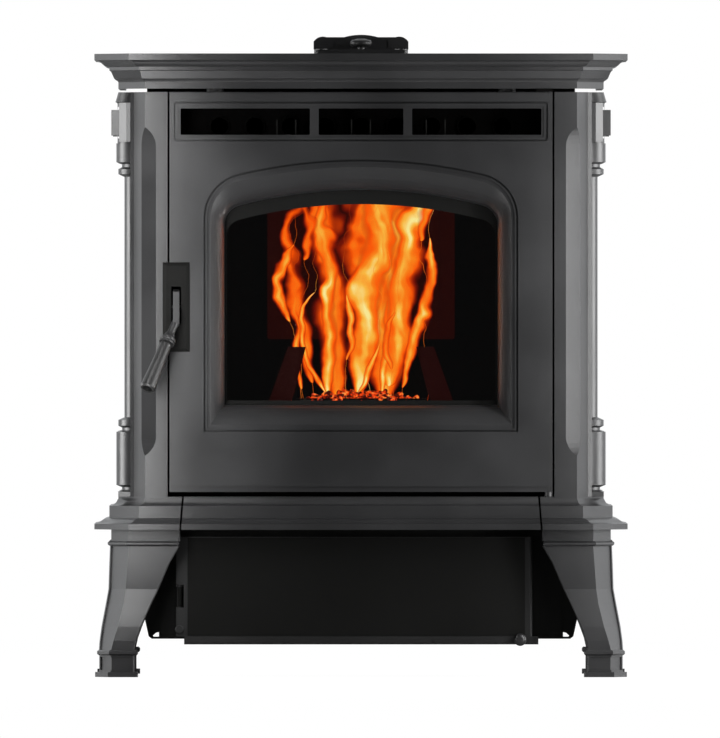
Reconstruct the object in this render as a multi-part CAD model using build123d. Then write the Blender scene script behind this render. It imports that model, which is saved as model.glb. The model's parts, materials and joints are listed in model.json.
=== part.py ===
from build123d import *
import math
import os

# Pellet stove, millimetres. While it is modelled, y = 0 is the front face of the corner posts,
# +Y runs back towards the wall, +X is the viewer's right and z = 0 is the floor. The finished
# pieces are shifted in Y at the end, so that the origin is the middle of the stove's footprint.

# ---------------------------------------------------------------- driving dimensions
# Heights of the main castings
leg_height = 191.5
plinth_height = 42.8
door_gap = 6.3
body_height = 526.2
cornice_gap = 4.5
cornice_height = 45.5

# Plan of the body: the facet at each front corner runs from the crease to the side
crease_out = 31.8
facet_width = 35.1
facet_depth = 87.0
body_depth = 560.0
moulding_reach = 31.2
plate_overhang = 14.0

# Front door
door_half = 249.0
door_reveal = 2.5
door_wall = 8.0
door_depth = 42.0
door_proud = 1.0
door_border = 7.0
door_flange = 5.0
pin_inset = 5.0
hinge_pin_radius = 3.5

# Window in the door, an arched opening with a deep splayed frame
glass_set_in = 23.2
glass_low_rise = 125.0
glass_top_drop = 145.7
glass_crown_drop = 131.5
glass_thickness = 5.0
glass_lap = 12.0
splay_set_in = 50.9
splay_low_rise = 90.7
splay_top_drop = 94.0
splay_crown_drop = 80.5
splay_corner = 52.0
splay_throat = 2.6
splay_depth = 37.0
window_bead = 6.2
window_step = 1.6
groove_width = 2.6
groove_depth = 4.0

# Air grille above the window: three slots in a raised frame
grille_half_set_in = 6.0
grille_low_drop = 64.2
grille_high_drop = 12.5
slot_low_drop = 55.8
slot_high_drop = 21.3
slot_inner = 55.0
slot_gap = 11.5
slot_outer_set_in = 14.4
clip_width = 26.0
clip_pitch = 97.2
clip_height = 28.0

# Latch and handle at the door's left edge
latch_set_in = 8.7
latch_z_rise = 245.7
latch_set_back = 14.0
lever_width = 8.2
lever_height = 12.0
plate_left_of_latch = 17.5
plate_right_of_latch = 17.4
plate_low_under_latch = 57.2
plate_high_over_latch = 59.0
plate_thickness = 5.0
plate_bevel = 4.6
lever_slot_width = 12.9
lever_slot_low_under_latch = 22.0
lever_slot_high_over_latch = 27.6
grip_radius = 10.2
grip_top_radius = 7.6
grip_bore = 6.8
grip_length = 73.0
ferrule_radius = 10.3
ferrule_length = 15.0

# Corner posts and side panels
post_set_in = 19.5
post_wall = 7.0
chamfer_front = 14.3
chamfer_side = 4.6
chamfer_low_rise = 75.1
chamfer_high_drop = 67.6
chamfer_run_out = 21.5
side_set_in = 2.4
side_wall = 8.0
column_set_in = 8.0
column_set_back = 84.0
column_shaft = 22.0
column_bead = 30.0
column_drum = 32.5
column_neck = 25.2
column_block = 39.0

# Sheet metal, steel box and clearances
sheet = 2.0
firebox_wall = 4.0
front_plate = 5.0
touch_gap = 0.3
loose_gap = 1.0
pin_clearance = 0.05

# Firebox
firebox_set_in = 34.0
firebox_front = 52.0
firebox_back = 310.0
firebox_top_drop = 12.5
mouth_set_in = 25.0
mouth_low_rise = 103.7
mouth_high_drop = 120.5
hearth_level_rise = 83.7
floor_plate_thickness = 6.0
floor_ledge = 20.0

# Burn pot
pot_half = 85.0
pot_front = 130.0
pot_back = 212.0
pot_top_over_hearth = 44.0
pot_wall = 6.0
pot_hole = 2.6

# Hopper and lid in the top plate
hopper_set_in = 15.0
hopper_front = 345.0
hopper_from_back = 32.0
hopper_sheet = 2.0
hopper_rim = 9.0
throat_half = 24.0
lid_gap = 1.0

# Feed auger, sloping up from the back to the firebox
auger_from_back = 90.0
auger_low_z_rise = 95.7
auger_slope = 28.9
auger_tube_length = 205.0
auger_tube_radius = 26.0
auger_tube_wall = 2.5
auger_shaft = 7.0
flight_radius = 22.0
flight_pitch = 34.0

# Blowers, both with their shafts across the stove
exhaust_x = -150.0
exhaust_z_rise = 95.7
exhaust_from_back = 140.0
exhaust_radius = 75.0
exhaust_width = 84.0
flue_radius = 38.0
flue_wall = 2.0
flue_reach = 62.0
fan_set_in = 134.0
fan_from_back = 130.0
fan_radius = 76.0
fan_width = 100.0
intake_x = 70.0
intake_z_rise = 37.7
intake_radius = 30.0
intake_reach = 45.0

# Ash compartment below the base
ash_front = 30.0
ash_wider = 11.7
ash_low_drop = 142.1
ash_from_back = 90.0
strip_width = 14.7
ash_roll_width = 5.8
ash_door_low_over_ash_floor = 3.0
ash_door_high_drop = 9.5
ash_pan_set_in = 100.7
ash_pan_front = 112.0
ash_pan_depth = 290.0
ash_pan_height = 92.0

# Control console on the top plate
console_half = 61.7
dome_half = 22.0
console_front = 70.0
console_depth = 92.0
console_height = 24.8
console_base = 5.8

# Top plate and lid, smaller sizes
boss_set_in = 25.0
boss_rows = (80.0, 290.0)
lid_pin_radius = 1.8
lid_pin_grip = 14.0
finger_notch = 16.0

# Base, smaller sizes
seam_set_in = 17.6
seam_slant = 3.6
seam_gap = 2.5
hinge_pin_depth = 14.0
chute_half = 110.0
chute_front = 120.0
chute_back = 270.0

# Legs, smaller sizes
leg_wall = 9.0
leg_lip = 3.6
leg_lip_ease = 1.3
leg_panel_depth = 1.8
leg_sweep = [
    # share of the leg's height; outer side, crease and inner edge, each past the base's band
    (0.184, 24.9, 10.0, -20.8),
    (0.245, 24.1, 7.1, -23.4),
    (0.343, 21.6, 1.1, -30.2),
    (0.496, 16.1, -6.1, -43.4),
    (0.597, 12.6, -8.9, -52.8),
    (0.774, 11.5, -11.3, -67.3),
    (0.890, 10.6, -12.9, -80.3),
]
leg_top_block = (9.1, -13.9, -80.6)
leg_bead = (13.7, -10.4, -79.3)
leg_ankle = (24.4, 9.5, -21.3)
leg_ball = (27.3, 11.6, -26.0)
leg_foot = (29.9, 13.1, -26.0)

# Corner posts and side panels, smaller sizes
side_foot = 6.2
column_tablet = 10.2
post_bead = 3.8
post_bead_run = 1.2
side_front = 42.5
rear_column_from_back = 84.0

# Front door, smaller sizes
splay_curve = 1.85
seal_outside = 15.9
seal_low_rise = 65.7
seal_top_drop = 77.5

# What the door carries, smaller sizes
frame_thickness = 3.0
gasket_thickness = 2.0
clip_thickness = 2.0
rope = 9.0
upper_bracket_thickness = 4.5

# Latch and handle, smaller sizes
ferrule_set_out = 6.1
ferrule_reach = 21.0
ferrule_under_latch = 31.0
pivot_radius = 3.0

# Firebox, smaller sizes
tube_radius = 13.0
tube_wall = 1.5
tube_level_drop = 44.5
tube_pitch = 46.0
tube_count = 9
igniter_x = 0.0
igniter_z_over_hearth = 20.0
igniter_radius = 5.0
pot_floor_thickness = 3.0
pot_floor_travel = 70.0
baffle_half = 122.2
baffle_low_rise = 204.7
baffle_top_drop = 88.5
baffle_front = 262.0
baffle_back = 272.0

# Pellet feed, smaller sizes
throat_from_back = 135.0
hopper_low_rise = 217.7

# Combustion blower and flue, smaller sizes
housing_wall = 2.5
stop_gap = 2.0
blower_inlet = 34.0
motor_radius = 37.0
motor_length = 58.0
motor_shaft = 4.0

# Room air blower, smaller sizes
wheel_outer = 58.0
wheel_inner = 47.0
wheel_blades = 24
plenum_depth = 28.0
plenum_low_rise = 217.7

# Rear cover, smaller sizes
screw_rises = (27.7, 185.7, 345.7, 500.7)
screw_radius = 2.0
inlet_x = -235.0
inlet_z_rise = 195.7

# Ash compartment, smaller sizes
strip_set_in = 20.4
wing_step = 1.5
ash_hinge_set_in = 4.6
ash_edge_set_in = 41.7
ash_edge_radius = 3.6
knuckle_radius = 3.4
ash_pin_radius = 2.0
knuckle_rises = ((41.5, 67.5), (100.0, 120.0))
ash_knob_set_in = 12.0
ash_knob_z_under_ash_floor = 1.0
strip_low_under_ash_floor = 7.3
strip_high_over_ash_floor = 3.3

# Control console on the top plate, smaller sizes
tier_set_in = 0.6
cover_swing = 8.0
wing_rise = 111.0
cover_wall = 2.5
cover_pin_radius = 1.6
knob_stem = 3.0

# ---------------------------------------------------------------- derived widths and depths
crease_half = door_half + crease_out
band_half = crease_half + facet_width
post_side = band_half - post_set_in
side_half = post_side - side_set_in
column_axis = side_half - column_set_in
splay_half = door_half - splay_set_in
glass_half = splay_half - glass_set_in
seal_half = splay_half + seal_outside
latch_x = -door_half + latch_set_in
plate_left = latch_x - plate_left_of_latch
plate_right = latch_x + plate_right_of_latch
firebox_half = door_half - firebox_set_in
mouth_half = firebox_half - mouth_set_in
hopper_half = firebox_half - hopper_set_in
boss_x = firebox_half - boss_set_in
seam_half_top = door_half - seam_set_in
seam_half_low = seam_half_top + seam_slant
fan_x = side_half - fan_set_in
ash_half = door_half + ash_wider
ash_strip_left = -ash_half + strip_set_in
ash_door_left = ash_strip_left + strip_width
ash_hinge_axis_x = ash_strip_left + ash_hinge_set_in
ash_edge_x = ash_half - ash_edge_set_in
ash_door_right = ash_edge_x - ash_roll_width
ash_knob_x = ash_edge_x - ash_knob_set_in
ash_pan_half = ash_half - ash_pan_set_in
hopper_back = body_depth - hopper_from_back
auger_low_y = body_depth - auger_from_back
throat_y = body_depth - throat_from_back
rear_column_y = body_depth - rear_column_from_back
ash_back = body_depth - ash_from_back
exhaust_y = body_depth - exhaust_from_back
fan_y = body_depth - fan_from_back

# ---------------------------------------------------------------- derived levels
plinth_top = leg_height + plinth_height
door_low = plinth_top + door_gap
body_top = plinth_top + body_height
cornice_low = body_top + cornice_gap
stove_top = cornice_low + cornice_height
top_skin = 6.0
skin_low = stove_top - top_skin
floor_top = plinth_top - door_gap + 0.5
facet_ratio = facet_depth / (band_half - crease_half)
top_back = body_depth + plate_overhang
front_plate_back = firebox_front + front_plate
door_front = -door_proud
door_top = body_top
screw_rows = [plinth_top + rise for rise in screw_rises]

glass_low = plinth_top + glass_low_rise
splay_low = plinth_top + splay_low_rise
latch_z = plinth_top + latch_z_rise
hearth_level = plinth_top + hearth_level_rise
mouth_low = plinth_top + mouth_low_rise
seal_low = plinth_top + seal_low_rise
baffle_low = plinth_top + baffle_low_rise
auger_low_z = plinth_top + auger_low_z_rise
exhaust_z = plinth_top + exhaust_z_rise
intake_z = plinth_top + intake_z_rise
hopper_low = plinth_top + hopper_low_rise
plenum_low = plinth_top + plenum_low_rise
inlet_z = plinth_top + inlet_z_rise
chamfer_low = plinth_top + chamfer_low_rise

glass_top = body_top - glass_top_drop
glass_crown = body_top - glass_crown_drop
splay_top = body_top - splay_top_drop
splay_crown = body_top - splay_crown_drop
grille_low = body_top - grille_low_drop
grille_high = body_top - grille_high_drop
slot_low = body_top - slot_low_drop
slot_high = body_top - slot_high_drop
chamfer_high = body_top - chamfer_high_drop
firebox_top = body_top - firebox_top_drop
mouth_high = body_top - mouth_high_drop
seal_top = body_top - seal_top_drop
tube_level = body_top - tube_level_drop
baffle_top = body_top - baffle_top_drop

plate_high = latch_z + plate_high_over_latch
lever_slot_high = latch_z + lever_slot_high_over_latch

plate_low = latch_z - plate_low_under_latch
lever_slot_low = latch_z - lever_slot_low_under_latch

pot_top = hearth_level + pot_top_over_hearth
igniter_z = hearth_level + igniter_z_over_hearth

ash_low = leg_height - ash_low_drop
ash_door_high = leg_height - ash_door_high_drop

ash_door_low = ash_low + ash_door_low_over_ash_floor
strip_high = ash_low + strip_high_over_ash_floor

strip_low = ash_low - strip_low_under_ash_floor
ash_knob_z = ash_low - ash_knob_z_under_ash_floor

grille_half = door_half - grille_half_set_in
slot_outer = door_half - slot_outer_set_in

knuckle_rows = [(ash_low + start, ash_low + end) for start, end in knuckle_rises]
ferrule_start = (latch_x - ferrule_set_out, -ferrule_reach, latch_z - ferrule_under_latch)


# ---------------------------------------------------------------- shared shapes
def slab(sketch, y_front, y_back):
    """A shape drawn as seen from the front (X, Z), given its depth from y_front to y_back."""
    return extrude(Plane.XZ.offset(-y_back) * sketch, amount=y_back - y_front)


def flat(sketch, z_low, z_high):
    """A shape drawn in plan (X, Y), given its height from z_low to z_high."""
    return extrude(Plane.XY.offset(z_low) * sketch, amount=z_high - z_low)


def across(sketch, x_low, x_high):
    """A shape drawn from the side (Y, Z), given its width from x_low to x_high."""
    return extrude(Plane.YZ.offset(x_low) * sketch, amount=x_high - x_low)


def block(x_low, x_high, y_low, y_high, z_low, z_high):
    """A plain block between two corners."""
    size = (x_high - x_low, y_high - y_low, z_high - z_low)
    centre = ((x_low + x_high) / 2, (y_low + y_high) / 2, (z_low + z_high) / 2)
    return Pos(*centre) * Box(*size)


def rod(start, end, radius):
    """A round bar between two points."""
    start = Vector(*start)
    run = Vector(*end) - start
    return extrude(Plane(origin=start, z_dir=run) * Circle(radius), amount=run.length)


def tube(start, end, radius, bore):
    """A round tube between two points."""
    start = Vector(*start)
    run = Vector(*end) - start
    ring = Circle(radius) - Circle(bore)
    return extrude(Plane(origin=start, z_dir=run) * ring, amount=run.length)


def rectangle(x_low, x_high, y_low, y_high, corner=0.0):
    """A flat rectangle between two corners, with rounded corners if asked for."""
    width = x_high - x_low
    height = y_high - y_low
    shape = RectangleRounded(width, height, corner) if corner else Rectangle(width, height)
    return Pos((x_low + x_high) / 2, (y_low + y_high) / 2) * shape


def arch(half, low, top, crown, corner):
    """The window's outline: flat foot, upright sides and a shallow arched head."""
    shoulder = top - (crown - math.sqrt(crown ** 2 - half ** 2))
    sides = Polyline((-half, shoulder), (-half, low), (half, low), (half, shoulder))
    head = ThreePointArc((half, shoulder), (0, top), (-half, shoulder))
    outline = make_face(sides + head)
    return fillet(outline.vertices().sort_by(Axis.Y)[-2:], corner)


def plan(offset, y_back):
    """The body's plan: straight sides, a facet at each front corner, moved out by offset."""
    turn = math.tan(math.atan(facet_ratio) / 2)
    crease = crease_half + offset * turn
    side = band_half + offset
    side_y = -offset + (side - crease) * facet_ratio
    points = [(-side, y_back), (-side, side_y), (-crease, -offset)]
    points += [(-x, y) for x, y in reversed(points)]
    return points


def plan_face(offset, y_back):
    """The body's plan as a flat face."""
    return make_face(Polyline(*plan(offset, y_back), close=True))


def moulding(profile, y_back):
    """A section drawn as (offset outwards, z) run round the two sides, the facets and the front."""
    start = plan(0, y_back)[0]
    section_plane = Plane(origin=(start[0], start[1], 0), x_dir=(-1, 0, 0), z_dir=(0, 1, 0))
    path = Polyline(*plan(0, y_back))
    return sweep(section_plane * profile, path=path, transition=Transition.RIGHT)


def group(pieces):
    """Several separate solids that share one node."""
    return Compound([solid for piece in pieces for solid in piece.solids()])


def both_sides(piece):
    """A piece and its mirror image on the other side of the stove."""
    return piece, mirror(piece, about=Plane.YZ)


# ---------------------------------------------------------------- top plate and lid
def cornice_section():
    """Section of the hollow top moulding: band, small round, cove, fillet, ogee and edge."""
    low = cornice_low
    outer = Polyline((-8, low), (0, low), (0, low + 8.5))
    outer += ThreePointArc((0, low + 8.5), (2.2, low + 11.3), (5.5, low + 13.2))
    outer += Polyline((5.5, low + 13.2), (9.8, low + 23), (11.7, low + 24), (11.7, low + 28.3))
    outer += ThreePointArc((11.7, low + 28.3), (18.4, low + 30.3), (22.4, low + 34.2))
    outer += ThreePointArc((22.4, low + 34.2), (25.8, low + 36.4), (moulding_reach, low + 37.2))
    outer += Polyline((moulding_reach, low + 37.2), (moulding_reach, stove_top), (8, stove_top))
    inner = Polyline((8, stove_top), (8, skin_low), (14, skin_low), (-8, low + 18), (-8, low))
    return make_face(outer + inner)


def lid_outline(gap):
    """The hopper lid's outline, grown by gap."""
    return rectangle(
        -hopper_half - gap, hopper_half + gap, hopper_front - gap, hopper_back + gap, 4 + gap
    )


lid_axis_y = hopper_back - top_skin / 2
lid_axis_z = stove_top - top_skin / 2


def make_top_plate():
    skin = flat(plan_face(10, top_back), skin_low, stove_top)
    plate = moulding(cornice_section(), top_back) + skin
    plate -= flat(lid_outline(lid_gap), skin_low - 1, stove_top + 1)
    for x in (-boss_x, boss_x):
        for y in boss_rows:
            boss = Cylinder(
                11, skin_low - firebox_top + 1, align=(Align.CENTER, Align.CENTER, Align.MIN)
            )
            plate += Pos(x, y, firebox_top) * boss
    reach = hopper_half + lid_gap + lid_pin_grip
    plate -= rod((-reach, lid_axis_y, lid_axis_z), (reach, lid_axis_y, lid_axis_z), lid_pin_radius)
    plate -= flat(
        Pos(0, hopper_front - lid_gap) * Circle(finger_notch), skin_low - 1, stove_top + 1
    )
    return plate


def make_hopper_lid():
    lid = flat(lid_outline(0), skin_low, stove_top)
    rear_edges = lid.edges().filter_by(Axis.X).group_by(Axis.Y)[-1]
    lid = fillet(rear_edges, top_skin / 2 - 0.05)
    axis_y = lid_axis_y
    bore = lid_pin_radius + pin_clearance
    for side in (-1, 1):
        lid -= rod(
            (side * (hopper_half - lid_pin_grip), axis_y, lid_axis_z),
            (side * (hopper_half + 1), axis_y, lid_axis_z), bore,
        )
    return lid


def lid_pins():
    """Two short pins that carry the lid at its rear corners."""
    pins = []
    for side in (-1, 1):
        start = (side * (hopper_half - lid_pin_grip + 0.5), lid_axis_y, lid_axis_z)
        end = (side * (hopper_half + lid_gap + lid_pin_grip), lid_axis_y, lid_axis_z)
        pins.append(rod(start, end, lid_pin_radius))
    return pins


# ---------------------------------------------------------------- base
def plinth_section():
    """Section of the base moulding, with a ledge inside that carries the floor plate."""
    low = leg_height
    top = plinth_top
    reach = moulding_reach
    ledge = floor_top - floor_plate_thickness
    outer = Polyline((-floor_ledge - 14, low), (reach, low), (reach, low + 7.4))
    outer += ThreePointArc((reach, low + 7.4), (26.5, low + 8.4), (22.4, low + 10.8))
    outer += ThreePointArc((22.4, low + 10.8), (18, low + 13.5), (11.7, low + 15.2))
    outer += Polyline((11.7, low + 15.2), (11.7, low + 30.8))
    outer += ThreePointArc((11.7, low + 30.8), (6, low + 32.4), (2.4, low + 36))
    outer += Polyline((2.4, low + 36), (0, low + 40.5), (0, top), (-14, top), (-14, ledge))
    outer += Polyline((-14, ledge), (-floor_ledge - 14, ledge), (-floor_ledge - 14, low))
    return make_face(outer)


def skirt_wedge(grow):
    """The middle stretch of the base between its two slanting seams."""
    low = leg_height - 1
    high = plinth_top + 1
    top_x = seam_half_top + grow
    low_x = seam_half_low + grow
    outline = Polyline((-low_x, low), (low_x, low), (top_x, high), (-top_x, high), close=True)
    return slab(make_face(outline), -moulding_reach - 5, 60)


def make_base():
    """Left and right base castings and the front skirt between them."""
    ring = moulding(plinth_section(), body_depth)
    half = seam_gap / 2
    skirt = ring & skirt_wedge(-half)
    rest = ring - skirt_wedge(half)
    pin_hole = Pos(door_pin_x, door_pin_y, plinth_top - hinge_pin_depth) * Cylinder(
        hinge_pin_radius, hinge_pin_depth + 1, align=(Align.CENTER, Align.CENTER, Align.MIN))
    sides = sorted(rest.solids(), key=lambda solid: solid.center().X)
    return sides[0], sides[-1] - pin_hole, skirt


door_pin_x = door_half - pin_inset
door_pin_y = pin_inset


def make_floor_plate():
    gap = -14 - 0.5
    plate = flat(plan_face(gap, body_depth), floor_top - floor_plate_thickness, floor_top)
    plate -= block(-chute_half, chute_half, chute_front, chute_back, floor_top - 10, floor_top + 1)
    return plate


# ---------------------------------------------------------------- legs
def leg_corners(outer, crease, inner):
    """Inner, crease and outer corner of the leg's front at one height, from sizes past the band."""
    outer, crease, inner = outer + band_half, crease + band_half, inner + band_half
    front = -(outer - band_half)
    return (-inner, front), (-crease, front), (-outer, front + (outer - crease) * facet_ratio)


def leg_plan(outer, crease, inner):
    """Plan of the front left leg at one height: flat front, facet, side, back, and eased lips."""
    right, corner, left = leg_corners(outer, crease, inner)
    back = max(right[1] + right[0] - left[0], left[1] + 4)
    length = math.hypot(corner[0] - left[0], left[1] - corner[1])
    eased = leg_lip_ease * (corner[0] - left[0]) / length
    rise = leg_lip_ease * (left[1] - corner[1]) / length
    points = [
        (right[0], back), (right[0], right[1] + leg_lip_ease), (right[0] - leg_lip_ease, right[1]),
        corner, (left[0] + eased, left[1] - rise), (left[0], left[1] + leg_lip_ease),
        (left[0], back),
    ]
    return make_face(Polyline(*points, close=True))


def leg_hollow_plan(outer, crease, inner):
    """Plan of the hollow behind the leg's two walls and facet."""
    right, corner, left = leg_corners(outer, crease, inner)
    wall = leg_wall
    back = right[1] + right[0] - left[0] + 8
    points = [
        (right[0] + 8, right[1] + wall), (corner[0] + 1, right[1] + wall),
        (left[0] + wall, left[1] + 1), (left[0] + wall, back), (right[0] + 8, back),
    ]
    return make_face(Polyline(*points, close=True))


def leg_panel_plan(outer, crease, inner):
    """Plan of the shallow panel sunk between the leg's lips, over its front and its facet."""
    right, corner, left = leg_corners(outer, crease, inner)
    length = math.hypot(corner[0] - left[0], left[1] - corner[1])
    along = ((corner[0] - left[0]) / length, (corner[1] - left[1]) / length)
    out_x, out_y = along[1], -along[0]
    near = (left[0] + along[0] * leg_lip, left[1] + along[1] * leg_lip)
    points = []
    for reach in (-leg_panel_depth, 3):
        row = [
            (right[0] - leg_lip, right[1] - reach),
            (corner[0] + reach * (1 + out_y) / out_x, corner[1] - reach),
            (near[0] + out_x * reach, near[1] + out_y * reach),
        ]
        points += row if reach < 0 else reversed(row)
    return make_face(Polyline(*points, close=True))


def leg_bulge(sizes, z_low, z_high):
    """A swollen band round the leg, smaller above and below than in its middle."""
    outer, crease, inner = sizes
    small = leg_plan(outer - 2.2, crease - 1.5, inner + 1.6)
    full = leg_plan(outer, crease, inner)
    levels = [(z_low, small), (z_low + 1.8, full), (z_high - 1.8, full), (z_high, small)]
    return loft([Plane.XY.offset(z) * face for z, face in levels], ruled=True)


def make_front_left_leg():
    """A hollow corner leg with a swept curve, a bead above and below, and a flared foot."""
    shaft = loft(
        [Plane.XY.offset(leg_height * h) * leg_plan(o, c, i) for h, o, c, i in leg_sweep],
        ruled=True,
    )
    hollow_sweep = [row for row in leg_sweep if row[0] > 0.33]
    hollow = loft(
        [Plane.XY.offset(leg_height * h) * leg_hollow_plan(o, c, i) for h, o, c, i in hollow_sweep],
        ruled=True,
    )
    top = leg_height * leg_sweep[-1][0]
    low = leg_height * leg_sweep[0][0]
    panel = loft(
        [Plane.XY.offset(leg_height * h) * leg_panel_plan(o, c, i) for h, o, c, i in leg_sweep],
        ruled=True,
    )
    leg = shaft - panel
    leg += leg_bulge(leg_bead, top, top + 6)
    leg += flat(leg_plan(*leg_top_block), top + 6, leg_height)
    leg -= hollow
    leg -= flat(leg_hollow_plan(*leg_sweep[-1][1:]), top - 0.5, leg_height + 1)
    leg += leg_bulge(leg_ball, low - 7, low)
    ankle = flat(leg_plan(*leg_ankle), 6.5, low - 7)
    leg += ankle - flat(leg_panel_plan(*leg_ankle), 9, low - 9)
    leg += flat(leg_plan(*leg_foot), 0, 6.5)
    return leg


def make_legs():
    """Four legs: the front left one and its mirror images at the other corners."""
    middle = Plane.XZ.offset(-body_depth / 2)
    front_left, front_right = both_sides(make_front_left_leg())
    rear_left = mirror(front_left, about=middle)
    rear_right = mirror(front_right, about=middle)
    return front_left, front_right, rear_left, rear_right


# ---------------------------------------------------------------- corner posts and side panels
def chamfer_triangle(share):
    """Plan of the stopped chamfer's cut at the post's front edge, drawn at a share of its full size."""
    front = (-crease_half + chamfer_front * share, 0)
    side = (-crease_half - chamfer_side * share, chamfer_side * share * facet_ratio)
    beyond = (-crease_half - 6 * share, -6 * share)
    return make_face(Polyline(front, side, beyond, close=True))


def chamfer_cut():
    """The long lozenge cut from the post's edge, with its ogee ends."""
    shares = [(0.0, 1.0), (0.26, 0.91), (0.52, 0.73), (0.77, 0.45), (0.9, 0.25), (1.0, 0.02)]
    cut = flat(chamfer_triangle(1), chamfer_low, chamfer_high)
    for start, run in ((chamfer_low, -chamfer_run_out), (chamfer_high, chamfer_run_out)):
        cut += loft(
            [
                Plane.XY.offset(start + run * step) * chamfer_triangle(share)
                for step, share in shares
            ],
            ruled=True,
        )
    return cut


def make_left_post():
    """Hollow front corner casting: jamb, front face, facet, cap and foot."""
    jamb = door_half + door_reveal
    facet_y = (post_side - crease_half) * facet_ratio
    start = post_side - post_bead_run
    outer = [
        (-jamb, door_depth), (-jamb, 0), (-crease_half, 0),
        (-start, (start - crease_half) * facet_ratio), (-post_side - post_bead, facet_y - 1.4),
        (-post_side - post_bead, facet_y + 2.4),
    ]
    inner = [
        (-post_side + post_wall, facet_y + 2.4), (-crease_half - 2, 22), (-crease_half + 19, 10),
        (-jamb - post_wall, 10), (-jamb - post_wall, door_depth),
    ]
    post = flat(make_face(Polyline(*outer, *inner, close=True)), plinth_top, body_top)
    cap = make_face(Polyline(*outer, (-jamb - post_wall, door_depth), close=True))
    post += flat(cap, body_top - 6, body_top)
    post += flat(cap, plinth_top, plinth_top + 6)
    return post - chamfer_cut()


def column(axis_y):
    """One engaged column: capital, panelled block, drum, beads, shaft and foot, as a lathe profile."""
    top = body_top
    low = plinth_top + side_foot
    base = top - 0.0
    shaft = column_shaft
    rings = [
        (30.0, base), (33.8, base - 13), (31.0, base - 14), (31.0, base - 66.5), (
            column_drum, base - 66.5
        ),
        (column_drum, base - 91), (
            column_neck, base - 93.5
        ), (column_neck, base - 97.5), (column_bead, base - 100),
        (
            column_bead, base - 106.5
        ), (shaft, base - 110), (shaft, low + 97), (column_bead, low + 93.5),
        (column_bead, low + 86), (
            column_neck, low + 83.5
        ), (column_neck, low + 80), (column_drum, low + 78),
        (column_drum, low + 9), (column_neck, low + 6), (column_neck, low + 2.5), (31.0, low),
    ]
    outline = Polyline((0, low), (0, base), *rings, close=True)
    turned = revolve(Plane.XZ * make_face(outline), axis=Axis.Z)
    half = column_block
    step = column_tablet
    capital = [(1, -half), (-19.5, -half), (-half + step, -half + step), (-half + step, 0)]
    capital += [(x, -y) for x, y in reversed(capital[:-1])]
    shield = flat(make_face(Polyline(*capital, close=True)), base - 64.5, base - 13.7)
    tablet = block(-half, -half + step + 1, -half + 2 * step, half - 2 * step, base - 56.2, base - 23)
    neck = block(
        -half + step - 1.7, -half + step + 1, -half + step, half - step, base - 60, base - 19
    )
    return Pos(-column_axis, axis_y, 0) * (turned + shield - neck + tablet)


def make_left_side():
    """Side casting with two engaged columns, a sunk panel between them and a foot moulding."""
    wall = block(-side_half, -side_half + side_wall, side_front, body_depth, plinth_top, body_top)
    panel = wall
    for axis_y in (column_set_back, rear_column_y):
        panel += column(axis_y)
    inside = block(-side_half + side_wall, 0, 0, body_depth + 100, 0, stove_top)
    panel -= inside
    panel += block(
        -band_half, -side_half + side_wall, side_front + 6, body_depth, plinth_top,
        plinth_top + side_foot,
    )
    front = column_set_back + 62
    back = rear_column_y - 62
    recess = across(
        rectangle(front, back, plinth_top + 50, body_top - 50, 14), -side_half - 1, -side_half + 2.5
    )
    field = across(
        rectangle(front + 14, back - 14, plinth_top + 64, body_top - 64, 8), -side_half + 0.8,
        -side_half + 3,
    )
    return panel - recess + field


# ---------------------------------------------------------------- front door
def splay(grow, y, share):
    """The window's splayed frame at one depth: share runs from the outer edge to the glass."""
    inner_half = glass_half + splay_throat
    inner_low = glass_low - 5.5
    inner_top = glass_top + 18
    half = splay_half + (inner_half - splay_half) * share + grow
    low = splay_low + (inner_low - splay_low) * share - grow
    top = splay_top + (inner_top - splay_top) * share + grow
    crown = splay_crown + (glass_crown - splay_crown) * share + grow
    corner = splay_corner + (26 - splay_corner) * share + grow
    return Plane.XZ.offset(-y) * arch(half, low, top, crown, corner)


def splay_solid(grow):
    """The space of the splayed frame, from the door's face to the glass, with a hollow curve."""
    parts = (0.0, 0.06, 0.14, 0.24, 0.36, 0.5, 0.66, 0.83, 1.0)
    levels = [(door_front + splay_depth * part, 1 - (1 - part) ** splay_curve) for part in parts]
    return loft([splay(grow, y, share) for y, share in levels], ruled=True)


slots = [
    (-slot_outer, -slot_inner - slot_gap),
    (-slot_inner, slot_inner),
    (slot_inner + slot_gap, slot_outer),
]


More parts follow.
